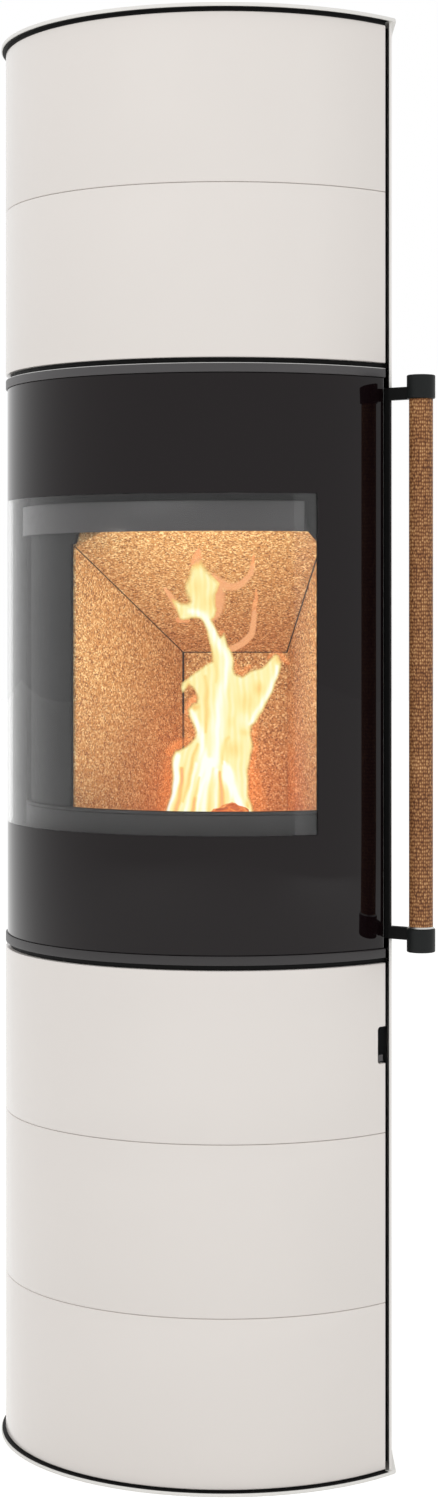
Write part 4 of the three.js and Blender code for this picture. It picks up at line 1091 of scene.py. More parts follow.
# %% Seal path
SEAL_WIDTH, SEAL_DEPTH = 9 * MM, 6.4 * MM
SEAL_PLAY = 0.2 * MM                        # the rope inside its groove
ROPE_TURN = 10 * MM                         # its bend at the door's corners
ROPE_STEP = 4 * MM
_, outer, start, end = reach("door_seal")
rope_wide, rope_deep = SEAL_WIDTH / 2, SEAL_DEPTH / 2 - SEAL_PLAY
rope_radius = outer - rope_deep - SEAL_PLAY
across = math.radians(1) * rope_radius
left, right = start * across + rope_wide, end * across - rope_wide
lower, upper = low("door_seal").z + rope_wide, high("door_seal").z - rope_wide
corners = [
    *round_corner((right - ROPE_TURN, lower + ROPE_TURN), ROPE_TURN, -90, 0),
    *round_corner((right - ROPE_TURN, upper - ROPE_TURN), ROPE_TURN, 0, 90),
    *round_corner((left + ROPE_TURN, upper - ROPE_TURN), ROPE_TURN, 90, 180),
    *round_corner((left + ROPE_TURN, lower + ROPE_TURN), ROPE_TURN, 180, 270),
]
path = []
for first, second in zip(corners, [*corners[1:], corners[0]]):
    first, second = Vector(first), Vector(second)
    pieces = max(1, round((second - first).length / ROPE_STEP))
    path += [first.lerp(second, step / pieces) for step in range(pieces)]
rope_length = sum((b - a).length for a, b in zip(path, [*path[1:], path[0]]))
print(f"seal rope: {rope_length:.2f} m round the door")

# %% [markdown]
# **The rope itself** is a bundle of strands laid in a spiral. Its section is an ellipse with a ripple
# for each strand, and the ripple turns as the section travels along the path. The strands go round a
# whole number of times, so the last section meets the first.

# %% Seal rope
ROPE_STRANDS = 6
ROPE_LAY = 26 * MM                          # length in which the strands go once round
ROPE_RIPPLE = 0.10
ROPE_SIDES = 30
ROPE_SMOOTH_ANGLE = math.radians(60)
lays = round(rope_length / ROPE_LAY)
rope = bmesh.new()
rings = []
travelled = 0.0
for index, spot in enumerate(path):
    ahead, behind = path[(index + 1) % len(path)], path[index - 1]
    along = (ahead - behind).normalized()
    side = Vector((along.y, -along.x))
    lay = math.tau * lays * travelled / rope_length
    ring = []
    for step in range(ROPE_SIDES):
        angle = math.tau * step / ROPE_SIDES
        strand = abs(math.sin((angle + lay) * ROPE_STRANDS / 2))
        swell = 1 - ROPE_RIPPLE + ROPE_RIPPLE * strand
        flat = spot + side * (math.cos(angle) * rope_wide * swell)
        radius = rope_radius + math.sin(angle) * rope_deep * swell
        ring.append(rope.verts.new(polar(radius, flat.x / across, flat.y)))
    rings.append(ring)
    travelled += (ahead - spot).length
for ring, following in zip(rings, [*rings[1:], rings[0]]):
    for index in range(ROPE_SIDES):
        after = (index + 1) % ROPE_SIDES
        rope.faces.new((ring[index], ring[after], following[after], following[index]))
place("laid_door_seal", rope, "seal_rope", "door_seal", angle=ROPE_SMOOTH_ANGLE)
print("seal rope:", lays, "lays,", len(rings), "sections")

# %% [markdown]
# ## Softening the frame's own boards
# The fire boards, stones and plain bars keep the frame's solids. They only want their edges broken, and
# for flat-sided solids a Bevel modifier is enough: it rounds what the eye would call an edge and
# leaves the flat faces alone. The solid itself stays untouched beneath it.

# %% Soft edges
SOFT_EDGES = {
    1.4 * MM: ["lining_left", "lining_right", "lining_back", "baffle"],
    1.2 * MM: ["hearth_stone_front", "hearth_stone_rear", "hearth_stone_left", "hearth_stone_right"],
    0.6 * MM: ["side_panel", "handle_arm_lower", "handle_arm_upper", "handle_bar"],
}
for width, names in SOFT_EDGES.items():
    for name in names:
        soften = frame["nodes"][name].modifiers.new("soft_edges", "BEVEL")
        soften.width = width
        soften.segments = ROUNDING_STEPS
        soften.limit_method = "ANGLE"
        soften.angle_limit = SOLID_SMOOTH_ANGLE
        soften.harden_normals = True
print("softened:", sum(len(names) for names in SOFT_EDGES.values()), "solids")

# %% [markdown]
# ## Screws in the back
# The back panel is a plain sheet that is screwed on, so that the fitter can reach the pipes. A screw's
# head is turned like the handle, and then its recess is pushed into a star with six points by a
# cosine of the angle. All heads are alike, so one function makes them and they share one mesh.

# %% Back screws
SCREW_RADIUS, SCREW_HEIGHT = 4.3 * MM, 2 * MM
DOME_ROUND = 1.3 * MM
RECESS_RADIUS, RECESS_DEPTH = 1.9 * MM, 1.3 * MM
RECESS_TAPER = 0.9
RECESS_POINTS, RECESS_SHARPNESS = 6, 0.16
SCREW_MARGIN = 11 * MM                      # from the panel's sides, and round the smoke outlet
SCREW_END_MARGIN = 44 * MM                  # from the panel's ends
SCREW_ROWS = 6
OUTLET_TURNS = (45, 135, 225, 315)          # degrees round the smoke outlet


def add_screw(heads, spot):
    """Adds a pan head at a point of the back panel, looking backwards."""
    dome = round_corner((SCREW_RADIUS - DOME_ROUND, SCREW_HEIGHT - DOME_ROUND), DOME_ROUND, 0, 90, steps=4)
    recess_floor = SCREW_HEIGHT - RECESS_DEPTH
    head = turned([
        (0, 0), (SCREW_RADIUS, 0), *dome, (RECESS_RADIUS, SCREW_HEIGHT),
        (RECESS_RADIUS * RECESS_TAPER, recess_floor), (0, recess_floor),
    ], (0, 0, 0), sides=4 * RECESS_POINTS)
    made = {}
    for vertex in head.verts:
        x, y, z = vertex.co
        if math.hypot(x, y) < RECESS_RADIUS + WELD:
            star = 1 + RECESS_SHARPNESS * math.cos(RECESS_POINTS * math.atan2(y, x))
            x, y = x * star, y * star
        made[vertex] = heads.verts.new(spot + Vector((x, z, y)))
    for face in head.faces:
        heads.faces.new([made[vertex] for vertex in face.verts])
    head.free()


panel_low, panel_high = low("back_panel"), high("back_panel")
lowest, highest = panel_low.z + SCREW_END_MARGIN, panel_high.z - SCREW_END_MARGIN
spots = [
    (x, lowest + (highest - lowest) * row / (SCREW_ROWS - 1))
    for x in (panel_low.x + SCREW_MARGIN, panel_high.x - SCREW_MARGIN) for row in range(SCREW_ROWS)
]
outlet = (low("flue_collar") + high("flue_collar")) / 2
outlet_ring = (high("flue_collar").x - low("flue_collar").x) / 2 + SCREW_MARGIN
for turn in OUTLET_TURNS:
    around = math.radians(turn)
    spots.append((outlet.x + outlet_ring * math.cos(around), outlet.z + outlet_ring * math.sin(around)))
heads = bmesh.new()
for x, z in spots:
    add_screw(heads, Vector((x, panel_high.y, z)))
place("back_panel_screws", heads, "bare_edge", body="root")
print("back screws:", len(spots))

# %% [markdown]
# ## Joints of the fire boards
# The boards stand loosely against each other, and soot fills the joints, which then show as thin black
# lines. The frame leaves the joints open by a hair, too little to be seen. So a thin bar of soot lies
# in each, between corners that are read from the boards themselves.

# %% Board joints
JOINT_RADIUS = 0.8 * MM
WIDE_JOINT_RADIUS = 1.3 * MM                # right under the ceiling
REAR_JOINT_RADIUS = 1.8 * MM                # upright in the rear corner
JOINT_SIDES = 6
coat("joint_soot", linear(30, 15, 7), 0.9, shift=0.2, bump=0.3)


def board_corner(node, key):
    """The vertex of a board for which the key is greatest."""
    return Vector(max((vertex.co for vertex in frame["nodes"][node].data.vertices), key=key))


def soot_line(name, start, finish, radius=JOINT_RADIUS):
    """A thin bar between two points."""
    bar = bmesh.new()
    along = (finish - start).normalized()
    side = along.orthogonal().normalized()
    other = along.cross(side)
    turns = [math.tau * step / JOINT_SIDES for step in range(JOINT_SIDES)]
    round_it = [(side * math.cos(turn) + other * math.sin(turn)) * radius for turn in turns]
    first = [bar.verts.new(start + step) for step in round_it]
    last = [bar.verts.new(finish + step) for step in round_it]
    for index in range(JOINT_SIDES):
        after = (index + 1) % JOINT_SIDES
        bar.faces.new((first[index], first[after], last[after], last[index]))
    bar.faces.new(first)
    bar.faces.new(list(reversed(last)))
    place(name, bar, "joint_soot", body="root")


rear_left = board_corner("lining_left", lambda spot: (round(spot.x, 4), spot.z))
rear_right = board_corner("lining_right", lambda spot: (-round(spot.x, 4), spot.z))
front_left = board_corner("lining_left", lambda spot: spot.z)
front_right = board_corner("lining_right", lambda spot: spot.z)
foot_left = Vector((rear_left.x, rear_left.y, high("hearth_stone_rear").z))
soot_line("joint_left_ceiling", rear_left, front_left)
soot_line("joint_right_ceiling", rear_right, front_right, WIDE_JOINT_RADIUS)
soot_line("joint_rear_ceiling", rear_left, rear_right)
soot_line("joint_left_rear", foot_left, rear_left, REAR_JOINT_RADIUS)
print("board joints: four soot lines")

# %% [markdown]
# ## Logs and embers
# The fire is only shown here, it is no part of the frame. Its logs are charcoal with cracks that glow.
# A Voronoi texture can put out how far each point is from the edge of its cell, and that is a
# ready-made net of cracks: the same value lets them glow and sinks them into the bark.

# %% Ember finish
tree, shader = new_finish("charred_wood", Roughness=0.95, Specular_IOR_Level=0.1, Emission_Strength=1.0)
here = add(tree, "ShaderNodeTexCoord").outputs["Object"]
net = add(tree, "ShaderNodeTexVoronoi", {"Vector": here, "Scale": 70.0}, feature="DISTANCE_TO_EDGE")
crack = add(tree, "ShaderNodeMapRange", {
    "Value": net.outputs["Distance"], "From Min": 0.0, "From Max": 0.12, "To Min": 1.0, "To Max": 0.0,
}).outputs["Result"]
patches = add(tree, "ShaderNodeTexNoise", {"Vector": here, "Scale": 22.0, "Detail": 2.0}).outputs["Fac"]
hot = add(tree, "ShaderNodeMapRange", {"Value": patches, "From Min": 0.28, "From Max": 0.52})
shine = sums(tree, "ADD", sums(tree, "MULTIPLY", crack, 0.7), 0.3)
heat = sums(tree, "MULTIPLY", hot.outputs["Result"], shine)
glow = ramp(
    tree, heat, (0.0, linear(158, 66, 30)), (0.25, linear(224, 106, 42)), (0.6, linear(246, 140, 62)),
    (1.0, linear(255, 204, 124)),
)
char = ramp(tree, patches, (0.3, linear(28, 24, 22)), (0.7, linear(86, 74, 66)))
sunk = relief(tree, crack, 0.6, 1 * MM, invert=True)
feed(tree, shader, Base_Color=char, Emission_Color=glow, Normal=sunk)
print("finish: charred_wood")

# %% [markdown]
# **Three logs**: two lie on the grate, and a split one lies across them on its flat side, with its end
# looking out over the log guard. They ride on the grate's body, so they come up with it when it is
# lifted out. A log is a turned shape laid down, with noise pushing its bark in and out. A coarse noise
# makes it uneven, and a finer one, drawn out along the log, gives the bark its ridges.

# %% Logs
LOG_SIDES, LOG_STATIONS = 40, 22
LOG_SMOOTH_ANGLE = math.radians(50)
LOG_ROUGH, BARK_RIDGES = 0.16, 0.08         # shares of the radius
ROUGH_SCALE, RIDGE_SCALE = (60, 60, 22), (170, 170, 40)
END_SHARE = 0.55                            # of the radius, at a log's very end


def log(name, middle, length, radius, turn, seed, split=False):
    """A charred log whose middle is at a point, turned from the X axis by some degrees.

    A split log keeps only its upper half, and lies on its flat side.
    """
    profile = [(0, -length / 2)]
    for index in range(LOG_STATIONS + 1):
        share = index / LOG_STATIONS
        end_round = min(1.0, 4 * math.sqrt(max(0.0, share * (1 - share))) + END_SHARE)
        profile.append((radius * end_round, length * (share - 0.5)))
    profile.append((0, length / 2))
    bark = turned(profile, (0, 0, 0), LOG_SIDES)
    for vertex in bark.verts:
        x, y, z = vertex.co
        rough, ridge = [
            noise.noise(Vector((x * scale[0], y * scale[1], z * scale[2] + seed)))
            for scale in (ROUGH_SCALE, RIDGE_SCALE)
        ]
        vertex.co += Vector((x, y, 0)) * (LOG_ROUGH * rough + BARK_RIDGES * ridge)
        if split:
            vertex.co.y = max(vertex.co.y, 0.0)
    bmesh.ops.dissolve_degenerate(bark, edges=bark.edges, dist=WELD)
    spin = math.radians(turn)
    for vertex in bark.verts:
        across, up, along = vertex.co
        side = along * math.cos(spin) - across * math.sin(spin)
        back = along * math.sin(spin) + across * math.cos(spin)
        vertex.co = Vector(middle) + Vector((side, back, up))
    place(name, bark, "charred_wood", body="grate", angle=LOG_SMOOTH_ANGLE)


LOG_RADIUS = 17 * MM
TOP_LOG_RADIUS = 30 * MM
TOP_LOG = (8 * MM, -62 * MM, 790.5 * MM)
grate_top = high("grate").z
grate_middle = (low("grate") + high("grate")) / 2
REAR_LOG = (grate_middle.x - 6 * MM, grate_middle.y + 44 * MM, grate_top + LOG_RADIUS)
FRONT_LOG = (grate_middle.x + 4 * MM, grate_middle.y - 30 * MM, grate_top + LOG_RADIUS)
log("log_rear", REAR_LOG, 150 * MM, LOG_RADIUS, 8, seed=1.0)
log("log_front", FRONT_LOG, 160 * MM, LOG_RADIUS, -6, seed=5.0)
log("log_top", TOP_LOG, 130 * MM, TOP_LOG_RADIUS, 84, seed=9.0, split=True)
print(f"logs: three on the grate, whose top is at {grate_top:.4f} m")

# %% [markdown]
# ## Flames
# A flame has no surface, so it is the hardest piece to fake with a mesh. Here it is drawn first, as a
# field over the plane where the fire burns, and the field is then turned into one closed body, thick
# where it is hot and leaf-thin at its rim. The body's UV map carries two things to the finish: how hot
# each place is, from orange over yellow to nearly white, and how much it covers of what is behind.
# Front and back both cover it, so each takes the share that gives the wanted cover when the two come
# together. The ramp holds the colours at about half their brightness, and the strength of the emission
# doubles them. That leaves room above: a colour ramp can't go beyond white, but a strength can.

# %% Flame finish
tree, shader = new_finish(
    "flame", Base_Color=BLACK, Roughness=1.0, Specular_IOR_Level=0.0, Emission_Strength=2.1,
)
finishes["flame"].cycles.emission_sampling = "NONE"
fire_uv = add(tree, "ShaderNodeUVMap", uv_map="fire").outputs["UV"]
drawn = add(tree, "ShaderNodeSeparateXYZ", {"Vector": fire_uv})
heat, cover = drawn.outputs["X"], drawn.outputs["Y"]
glow = ramp(
    tree, heat, (0.04, linear(255, 150, 74)), (0.17, linear(236, 140, 76)), (0.27, linear(186, 130, 90)),
    (0.44, linear(187, 148, 86)), (0.58, linear(187, 165, 102)), (0.74, linear(188, 178, 124)),
    (0.88, linear(188, 186, 154)), (1.0, linear(188, 188, 182)),
)
half_cover = sums(tree, "SUBTRACT", 1.0, sums(tree, "POWER", sums(tree, "SUBTRACT", 1.0, cover), 0.5))
feed(tree, shader, Emission_Color=glow, Alpha=half_cover)
print("finish: flame")

# %% [markdown]
# ** The marks of the fire** are listed, and their places are given in the photograph's pixels, as
# column and row. The outline goes round the fire once. Inside it the heat has one level, to which
# pools, that are soft ellipses, and streaks, that are soft bent strokes, add or take away. Outside it
# lie thin wisps and faint veils.

# %% Fire marks
FIRE_COLUMNS, FIRE_ROWS = (156, 294), (546, 828)
FIRE_LEVEL = 0.76
FIRE_OUTLINE = [
    (160, 830), (166, 812), (169, 803), (171.5, 792), (173, 780), (173, 766), (172.5, 757), (175, 751),
    (180, 750), (187, 747), (192, 742), (195.5, 737), (196, 732), (193, 724), (190, 716), (189.5, 709),
    (193, 704), (197.5, 703), (198.5, 698), (196, 692), (192, 687), (189, 685), (186, 688), (182, 692),
    (181, 687), (183, 682), (190, 677), (197, 672), (205, 665), (210, 663), (213, 662), (212.5, 655),
    (211, 648), (209, 640), (206, 630), (203, 622), (199.5, 618.5), (192, 617.5), (185, 619), (180.5, 619),
    (178, 613), (175, 607), (172, 601), (169, 594), (175, 600), (181, 603.5), (188, 604), (190.5, 602),
    (188, 597), (186, 592), (186, 586), (189, 580), (191.5, 572), (193.5, 565), (196, 559), (199, 557),
    (203, 564), (207, 571), (211, 576), (216, 581), (219, 584), (217, 589), (215, 595), (215.5, 602),
    (216, 610), (214, 616), (211, 619.5), (214, 626), (218, 634), (220.5, 637.5), (224, 633.5), (226, 639),
    (228, 646), (231.5, 652), (233, 658), (232.5, 668), (235, 674), (243, 677), (251, 672), (262, 668),
    (270, 661), (276, 655), (279, 657), (281, 662), (280.5, 668), (277, 677), (273.5, 688), (269, 699),
    (262.5, 712), (257, 720), (251.5, 725), (250, 735), (252, 748), (250.5, 757), (248, 770), (247, 785),
    (248, 796), (251.5, 804), (253, 812), (255, 830),
]
FIRE_POOLS = [                            # (column, row, half width, half height, change of heat)
    (197, 588, 13, 16, -0.12), (206, 602, 15, 13, -0.09), (197, 560, 12, 12, -0.42),
    (213, 602, 5, 18, -0.1), (178, 612, 7, 8, -0.05), (171, 597, 8, 8, -0.4), (233, 749, 13, 13, -0.17),
    (246, 702, 15, 16, -0.13), (258, 689, 8, 12, -0.24), (231, 722, 7, 9, -0.08), (244, 733, 7, 6, -0.14),
    (196, 707, 6, 6, -0.34), (188, 685, 6, 7, -0.2), (243, 680, 12, 8, 0.04), (240, 787, 10, 26, 0.05),
    (229, 776, 8, 13, 0.25), (245, 720, 10, 12, 0.08), (279, 659, 7, 8, -0.28), (205, 668, 11, 8, -0.04),
    (247, 806, 7, 9, -0.2), (183, 772, 6, 22, -0.08), (215, 728, 12, 22, 0.06), (213, 765, 10, 22, 0.05),
]
FIRE_STREAKS = [                          # change of heat, then stations of (column, row, half width)
    (0.34, [(163, 828, 4), (168, 808, 4), (172.5, 795, 4.5), (176, 780, 5), (177, 766, 5), (178, 756, 5)]),
    (0.2, [(190, 611, 5), (198, 613, 6), (205, 617, 7), (209, 625, 7), (213, 634, 6.5), (218, 642, 7),
        (223, 649, 8), (226, 657, 8), (226, 668, 8), (225, 680, 7), (222, 692, 8), (219, 706, 9),
        (218, 722, 10), (218, 738, 10), (216, 752, 9), (213, 766, 8), (210, 782, 6), (206, 798, 5),
        (203, 814, 5), (200, 828, 4)]),
    (0.24, [(193, 710, 3), (196, 721, 5), (200, 732, 6), (203, 745, 6), (203, 760, 7), (200, 776, 6),
        (197, 795, 4)]),
    (0.28, [(223, 762, 2), (226, 768, 7), (229, 777, 8), (232, 787, 8), (235, 797, 7), (241, 805, 6),
        (249, 814, 5)]),
    (0.2, [(250, 724, 3), (256, 713, 4), (262, 704, 4), (267, 695, 4.5), (271, 685, 4.5), (275, 675, 4),
        (277, 667, 3)]),
    (0.2, [(197, 811, 4), (200, 800, 5), (203, 788, 6), (206, 775, 6), (208, 760, 6)]),
    (0.2, [(184, 818, 4), (187, 806, 4), (190, 792, 3.5), (193, 776, 3), (196, 764, 3)]),
    (0.16, [(215, 810, 2.5), (216, 798, 3), (217, 784, 3), (217, 770, 3)]),
    (-0.44, [(172, 824, 4), (176, 811, 4.5), (179, 798, 4), (181, 784, 3.5), (182, 768, 3)]),
    (-0.4, [(190, 824, 3.5), (193, 811, 4), (195, 800, 3.5), (197, 788, 3), (199, 778, 2)]),
    (-0.28, [(183, 802, 2), (187, 788, 3), (190, 774, 3), (193, 760, 3), (198, 744, 2.4)]),
    (-0.2, [(209, 818, 4), (209, 800, 4), (211, 784, 3.5), (213, 768, 2.5)]),
    (-0.46, [(219, 822, 7), (221, 806, 6), (222, 794, 4.5), (221, 783, 3), (220, 772, 2)]),
    (-0.24, [(205, 676, 3), (206.5, 692, 4), (206.5, 708, 4), (206, 722, 3.5), (205, 732, 2.5)]),
    (-0.14, [(211, 646, 3), (214, 658, 3.5), (216, 670, 3), (216, 682, 2)]),
    (-0.18, [(222, 764, 2), (223, 752, 3), (225, 742, 3.5), (229, 737, 3)]),
]
FIRE_WISPS = [                            # heat, cover, then stations of (column, row, half width)
    (0.28, 0.8, [(212, 580, 9), (220, 584, 8), (230, 586.5, 6), (239, 585, 5.5), (246, 580.5, 5),
        (251, 574, 4), (252.5, 567, 3.5)]),
    (0.24, 0.5, [(250, 575, 4.5), (252.5, 566, 4), (253, 556, 2.4)]),
    (0.28, 0.8, [(229, 649, 4), (235, 647.5, 5), (242, 644, 5), (248, 638, 5), (252.5, 631, 5),
        (254, 623, 4.5), (254, 613, 4)]),
    (0.24, 0.5, [(254, 620, 4.6), (254.5, 606, 4), (255.5, 598, 3), (256, 590, 2)]),
    (0.27, 0.75, [(217, 588, 10), (218, 600, 11), (215, 611, 10), (209, 617, 8)]),
    (0.28, 0.75, [(176, 606, 6), (171, 597, 5), (166, 589, 3)]),
    (0.25, 0.6, [(179, 620, 5), (188, 620, 4)]),
    (0.25, 0.7, [(197, 574, 11), (197, 564, 9), (197, 557, 7), (198, 551, 4)]),
]
FIRE_VEILS = [                            # the same, for faint glows without an edge
    (0.2, 0.3, [(217, 635, 7), (223, 632, 5)]),
    (0.18, 0.3, [(272, 657, 7), (280, 656, 8), (287, 663, 4)]),
    (0.16, 0.2, [(233, 658, 4), (236, 668, 6), (242, 673, 7), (250, 667, 5)]),
    (0.2, 0.4, [(197, 698, 8), (191, 703, 8), (188, 712, 5)]),
    (0.1, 0.14, [(192, 745, 17), (191, 730, 15), (187, 718, 10)]),
    (0.12, 0.25, [(170, 752, 9), (176, 746, 10), (187, 741, 9)]),
    (0.12, 0.2, [(254, 720, 9), (252, 738, 9), (254, 752, 9), (250, 766, 9)]),
    (0.08, 0.14, [(250, 775, 16), (252, 790, 18), (256, 806, 19), (256, 824, 19)]),
    (0.08, 0.12, [(170, 765, 12), (168, 785, 14), (165, 803, 16), (160, 824, 16)]),
]
print("fire marks:", sum(map(len, (FIRE_POOLS, FIRE_STREAKS, FIRE_WISPS, FIRE_VEILS))), "and an outline")

# %% [markdown]
# **Pens for the marks**: each works on the whole grid of places at once. One gives how far every place
# lies inside the outline, and one gives how much a soft stroke covers it. A stroke bends smoothly
# through its stations, by a curve that takes each next point from the four stations round it.

# %% Fire pens
STROKE_STEPS = 12                         # between two stations


def station(values, share):
    """A smooth curve through given stations, at a share of the way along."""
    place_at = share * (len(values) - 1)
    index = min(int(place_at), len(values) - 2)
    t = place_at - index
    a, b, c, d = [Vector(values[max(0, min(len(values) - 1, index + step))]) for step in (-1, 0, 1, 2)]
    bend, twist = 2 * a - 5 * b + 4 * c - d, 3 * b - a - 3 * c + d
    return 0.5 * (2 * b + (c - a) * t + bend * t * t + twist * t ** 3)


def soft_step(start, finish, value):
    """0 before the start, 1 after the finish, and a smooth way between."""
    share = np.clip((value - start) / (finish - start), 0, 1)
    return share * share * (3 - 2 * share)


def inside(x, y, outline):
    """The distance to a closed outline, positive inside."""
    nearest = np.full(x.shape, np.inf)
    within = np.zeros(x.shape, bool)
    for (x1, y1), (x2, y2) in zip(outline, [*outline[1:], outline[0]]):
        run, fall = x2 - x1, y2 - y1
        share = np.clip(((x - x1) * run + (y - y1) * fall) / (run * run + fall * fall), 0, 1)
        nearest = np.minimum(nearest, np.hypot(x - x1 - share * run, y - y1 - share * fall))
        if fall:
            within ^= ((y1 > y) != (y2 > y)) & (x < run * (y - y1) / fall + x1)
    return np.where(within, nearest, -nearest)


def stroke(x, y, stations):
    """A soft stroke along stations, 1 on its line and 0 at its half width."""
    steps = STROKE_STEPS * (len(stations) - 1)
    closest = np.full(x.shape, np.inf)
    for step in range(steps + 1):
        column, row, half = station(stations, step / steps)
        closest = np.minimum(closest, np.hypot(x - column, y - row) / half)
    return soft_step(1, 0, closest)


print("fire pens: outline and soft stroke")

# %% [markdown]
# **Drawing the fire**: pools and streaks come first, then fine fibres, which stand askew at the lower
# left, then the rim, and the wisps and veils last. A little ripple in the places keeps every edge
# from looking ruled, and the rim is softer in the upper part.

# %% Drawn fire
RIPPLE = 0.5                              # pixels
RIM = 1.9                                 # pixels on both sides of the outline, where the cover comes up
SOFT_RIM, SOFT_ROWS = 1.8, (614, 596)     # added to it, and the rows between which it comes in
COOLER_RIM = 0.4                          # share of the heat that is lost where the cover ends
WISP_EDGE, VEIL_EDGE = 0.62, 1.0          # share of a stroke in which its cover comes up
FIBRES = [(0.035, 1.15, 37), (0.03, 0.8, -23)]      # change of heat, pixels across and down for a radian
LEAN_SHARE, LEAN_BELOW, LEAN_COLUMNS = 0.3, 745, (222, 205)

rows = np.arange(FIRE_ROWS[0], FIRE_ROWS[1] + 1.0)
columns = np.arange(FIRE_COLUMNS[0], FIRE_COLUMNS[1] + 1.0)
across, down = np.meshgrid(columns, rows)
x = across + RIPPLE * (np.sin(down / 7.3 + across / 11) + 0.5 * np.sin(down / 3.4 - across / 5))
y = down + RIPPLE * np.sin(across / 4.7 - down / 13)
fire = np.full(x.shape, FIRE_LEVEL)
for column, row, half_width, half_height, change in FIRE_POOLS:
    fire += change * soft_step(1, 0, np.hypot((x - column) / half_width, (y - row) / half_height))
for change, stations in FIRE_STREAKS:
    fire += change * stroke(x, y, stations)
leaning = x + LEAN_SHARE * np.maximum(0, y - LEAN_BELOW) * soft_step(*LEAN_COLUMNS, x)
for change, width, length in FIBRES:
    fire += change * np.sin(leaning / width + y / length)
rim = RIM + SOFT_RIM * soft_step(*SOFT_ROWS, y)
covers = soft_step(-rim, rim, inside(x, y, FIRE_OUTLINE))
fire *= 1 - COOLER_RIM * (1 - covers)
for marks, edge in ((FIRE_WISPS, WISP_EDGE), (FIRE_VEILS, VEIL_EDGE)):
    for level, cover, stations in marks:
        added = cover * soft_step(0, edge, stroke(x, y, stations))
        fire = np.where(fire * covers > level * added, fire, level)
        covers = np.maximum(covers, added)
fire = np.clip(fire, 0, 1)
print("fire drawn on", fire.size, "places, hottest", round(float(fire.max()), 2))

# %% [markdown]
# ** The body of the fire**: each place that is warm enough gets a vertex in front of the fire's plane and
# one behind it. A quad joins every four warm neighbours, on both sides, and a narrow band closes the
# rim. The plane leans forward higher up, since the flames follow the sloping board, and it waves a
# little, so that the fire isn't flat when it is seen from the side.

# %% Fire body
FIRE_DEPTH = -0.05                        # in front of the stove's axis
FORWARD_ROW, FORWARD = 650, 1.35 * MM     # above this row the fire leans forward, by so much a row
WAVE = 7 * MM
FAINTEST = 0.02                           # cover of a place that still gets a vertex
THINNEST, THICKEST = 0.8 * MM, 12 * MM    # half of the body's thickness


def in_fire_plane(column, row, depth):
    """The point of the fire that shows at a pixel of the photograph."""
    depth -= max(0.0, FORWARD_ROW - row) * FORWARD
    scale = (EYE_DISTANCE + depth) / FOCAL_PIXELS
    return Vector(((column - AXIS_COLUMN) * scale, depth, EYE_HEIGHT - (row - EYE_ROW) * scale))


body = bmesh.new()
fire_map = body.loops.layers.uv.new("fire")
sides, drawn = {}, {}
for down_step, row in enumerate(rows):
    for step, column in enumerate(columns):
        heat, cover = float(fire[down_step, step]), float(covers[down_step, step])
        if cover < FAINTEST:
            continue
        wave = math.sin(column / 9 + row / 31) + math.sin(row / 17)
        middle = FIRE_DEPTH + WAVE * wave
        half = THINNEST + (THICKEST - THINNEST) * heat * cover
        pair = [body.verts.new(in_fire_plane(column, row, middle + side * half)) for side in (-1, 1)]
        sides[down_step, step] = pair
        drawn.update((vertex, (heat, cover)) for vertex in pair)
for down_step, step in sides:
    corners = [(down_step, step), (down_step, step + 1), (down_step + 1, step + 1), (down_step + 1, step)]
    if all(corner in sides for corner in corners):
        body.faces.new([sides[corner][0] for corner in corners])
        body.faces.new([sides[corner][1] for corner in reversed(corners)])
behind = {front: back for front, back in sides.values()}
for edge in [edge for edge in body.edges if edge.is_boundary and edge.verts[0] in behind]:
    first, second = edge.verts
    body.faces.new((first, second, behind[second], behind[first]))
bmesh.ops.delete(body, geom=[vertex for vertex in body.verts if not vertex.link_faces], context="VERTS")
for face in body.faces:
    for loop in face.loops:
        loop[fire_map].uv = drawn[loop.vert]
print("fire body:", len(body.faces), "faces")
flames = place("fire_flames", body, "flame", angle=math.pi, rigid=False)
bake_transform(flames)
flames.visible_shadow = flames.visible_diffuse = False

# %% [markdown]
# ## Light in the fire room
# The flames' emission alone would leave the boards dim and the picture full of noise, and one small
# lamp among the flames would burn a bright spot on each wall. So a wide, pale lamp just inside the
# opening lights all boards evenly, and a small orange one lies in the embers. None of them shows.

# %% Fire light


def hidden_lamp(name, kind, spot, energy, colour):
    """A lamp at a point that lights what is round it and never shows itself."""
    lamp = bpy.data.lights.new(name, kind)
    lamp.energy = energy
    lamp.color = colour
    holder = bpy.data.objects.new(name, lamp)
    holder.location = spot
    holder.visible_camera = False
    holder.visible_glossy = False
    holder.visible_transmission = False
    bpy.context.scene.collection.objects.link(holder)
    return holder, lamp


holder, lamp = hidden_lamp("fire_room_lamp", "AREA", (-0.02, -0.235, 1.0), 0.47, (1.0, 0.95, 0.84))
lamp.shape = "RECTANGLE"
lamp.size, lamp.size_y = 0.26, 0.34
holder.rotation_euler.x = math.radians(90)      # an area lamp shines down, this one backwards
_, lamp = hidden_lamp("ember_lamp", "POINT", (0.004, 0.0, 0.825), 0.16, (1.0, 0.30, 0.09))
lamp.shadow_soft_size = 0.03
print("fire light: two lamps")

# %% [markdown]
# ## Floor, backdrop and light
# The room round the stove is one even white, so that glass and paint have something to reflect. Rays
# that reach the eye, straight, by a mirror or through the glass, see it at full white. Rays that light
# the stove see it dimmer, because two soft lamps do the rest.

# %% White room
ROOM_LIGHT = 0.68


def seen(tree):
    """1 for the rays that make floor and room visible, 0 for those that only carry light."""
    rays = add(tree, "ShaderNodeLightPath")
    direct = sums(tree, "MAXIMUM", rays.outputs["Is Camera Ray"], rays.outputs["Is Glossy Ray"])
    return sums(tree, "MAXIMUM", direct, rays.outputs["Is Transmission Ray"])


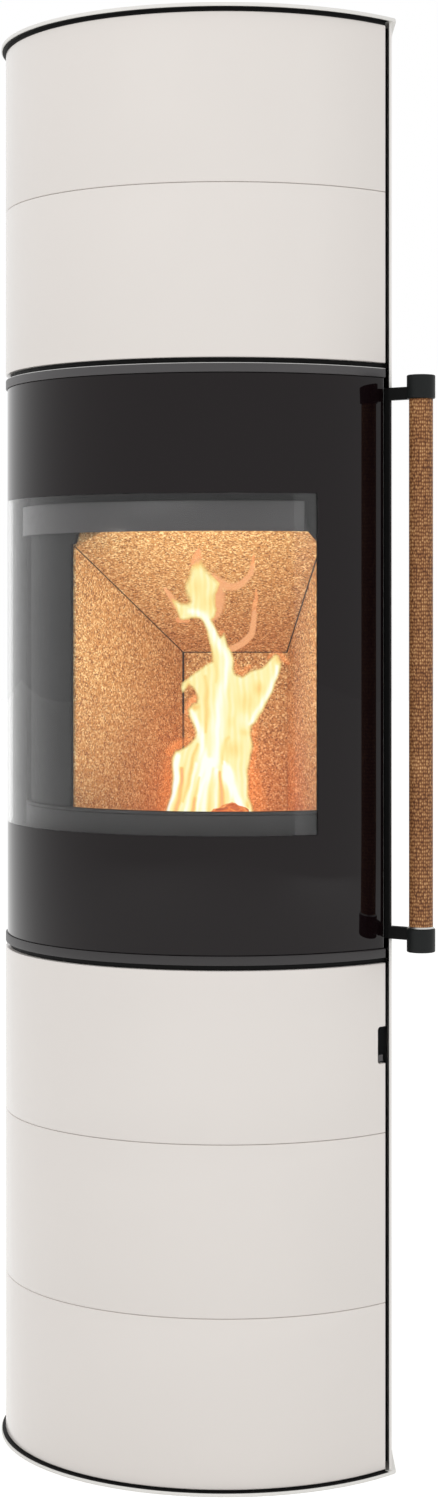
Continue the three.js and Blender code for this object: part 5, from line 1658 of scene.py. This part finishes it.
world = bpy.data.worlds.new("white_room")
world.use_nodes = True
bpy.context.scene.world = world
tree = world.node_tree
background = tree.nodes["Background"]
background.inputs["Color"].default_value = WHITE
strength = add(tree, "ShaderNodeMapRange", {"Value": seen(tree), "To Min": ROOM_LIGHT, "To Max": 1.0})
tree.links.new(strength.outputs["Result"], background.inputs["Strength"])
print("room: white, lights the stove at", ROOM_LIGHT)

# %% [markdown]
# **The floor** is pale and plain, and takes the stove's soft shadow. It reaches far behind the stove,
# and glows a little of its own, so that it runs into the white room without a line.

# %% Floor
FLOOR_HALF = 30.0
FLOOR_GLOW = 0.5
FLOOR_CELLS = 4                             # along each side

sheet = bmesh.new()
bmesh.ops.create_grid(sheet, x_segments=FLOOR_CELLS, y_segments=FLOOR_CELLS, size=FLOOR_HALF)
mesh = bpy.data.meshes.new("floor")
sheet.to_mesh(mesh)
sheet.free()
floor = bpy.data.objects.new("floor", mesh)
bpy.context.scene.collection.objects.link(floor)
paint = bpy.data.materials.new("pale_floor")
paint.use_nodes = True
tree = paint.node_tree
shader = tree.nodes["Principled BSDF"]
shader.inputs["Base Color"].default_value = linear(236, 236, 235)
shader.inputs["Roughness"].default_value = 0.9
shader.inputs["Specular IOR Level"].default_value = 0.0
shader.inputs["Emission Color"].default_value = WHITE
tree.links.new(sums(tree, "MULTIPLY", seen(tree), FLOOR_GLOW), shader.inputs["Emission Strength"])
mesh.materials.append(paint)
print(f"floor: {2 * FLOOR_HALF:.0f} m wide")

# %% [markdown]
# **The lamps** are two large squares, in front of the stove to its left and right. The left one is
# the stronger and stands higher. Neither of them is mirrored in the glass.

# %% Soft lamps
LAMP_SIZE = 2.4


def soft_lamp(name, spot, aim, power):
    """A square studio lamp that looks at a point."""
    lamp = bpy.data.lights.new(name, "AREA")
    lamp.size = LAMP_SIZE
    lamp.energy = power
    holder = bpy.data.objects.new(name, lamp)
    holder.location = spot
    holder.rotation_euler = (Vector(aim) - Vector(spot)).to_track_quat("-Z", "Y").to_euler()
    holder.visible_glossy = False
    bpy.context.scene.collection.objects.link(holder)


soft_lamp("key_lamp", (-2.6, -3.4, 3.0), (0, 0, 1.1), 54)
soft_lamp("fill_lamp", (3.2, -2.6, 1.6), (0, 0, 0.9), 28)
print("light: two soft lamps")
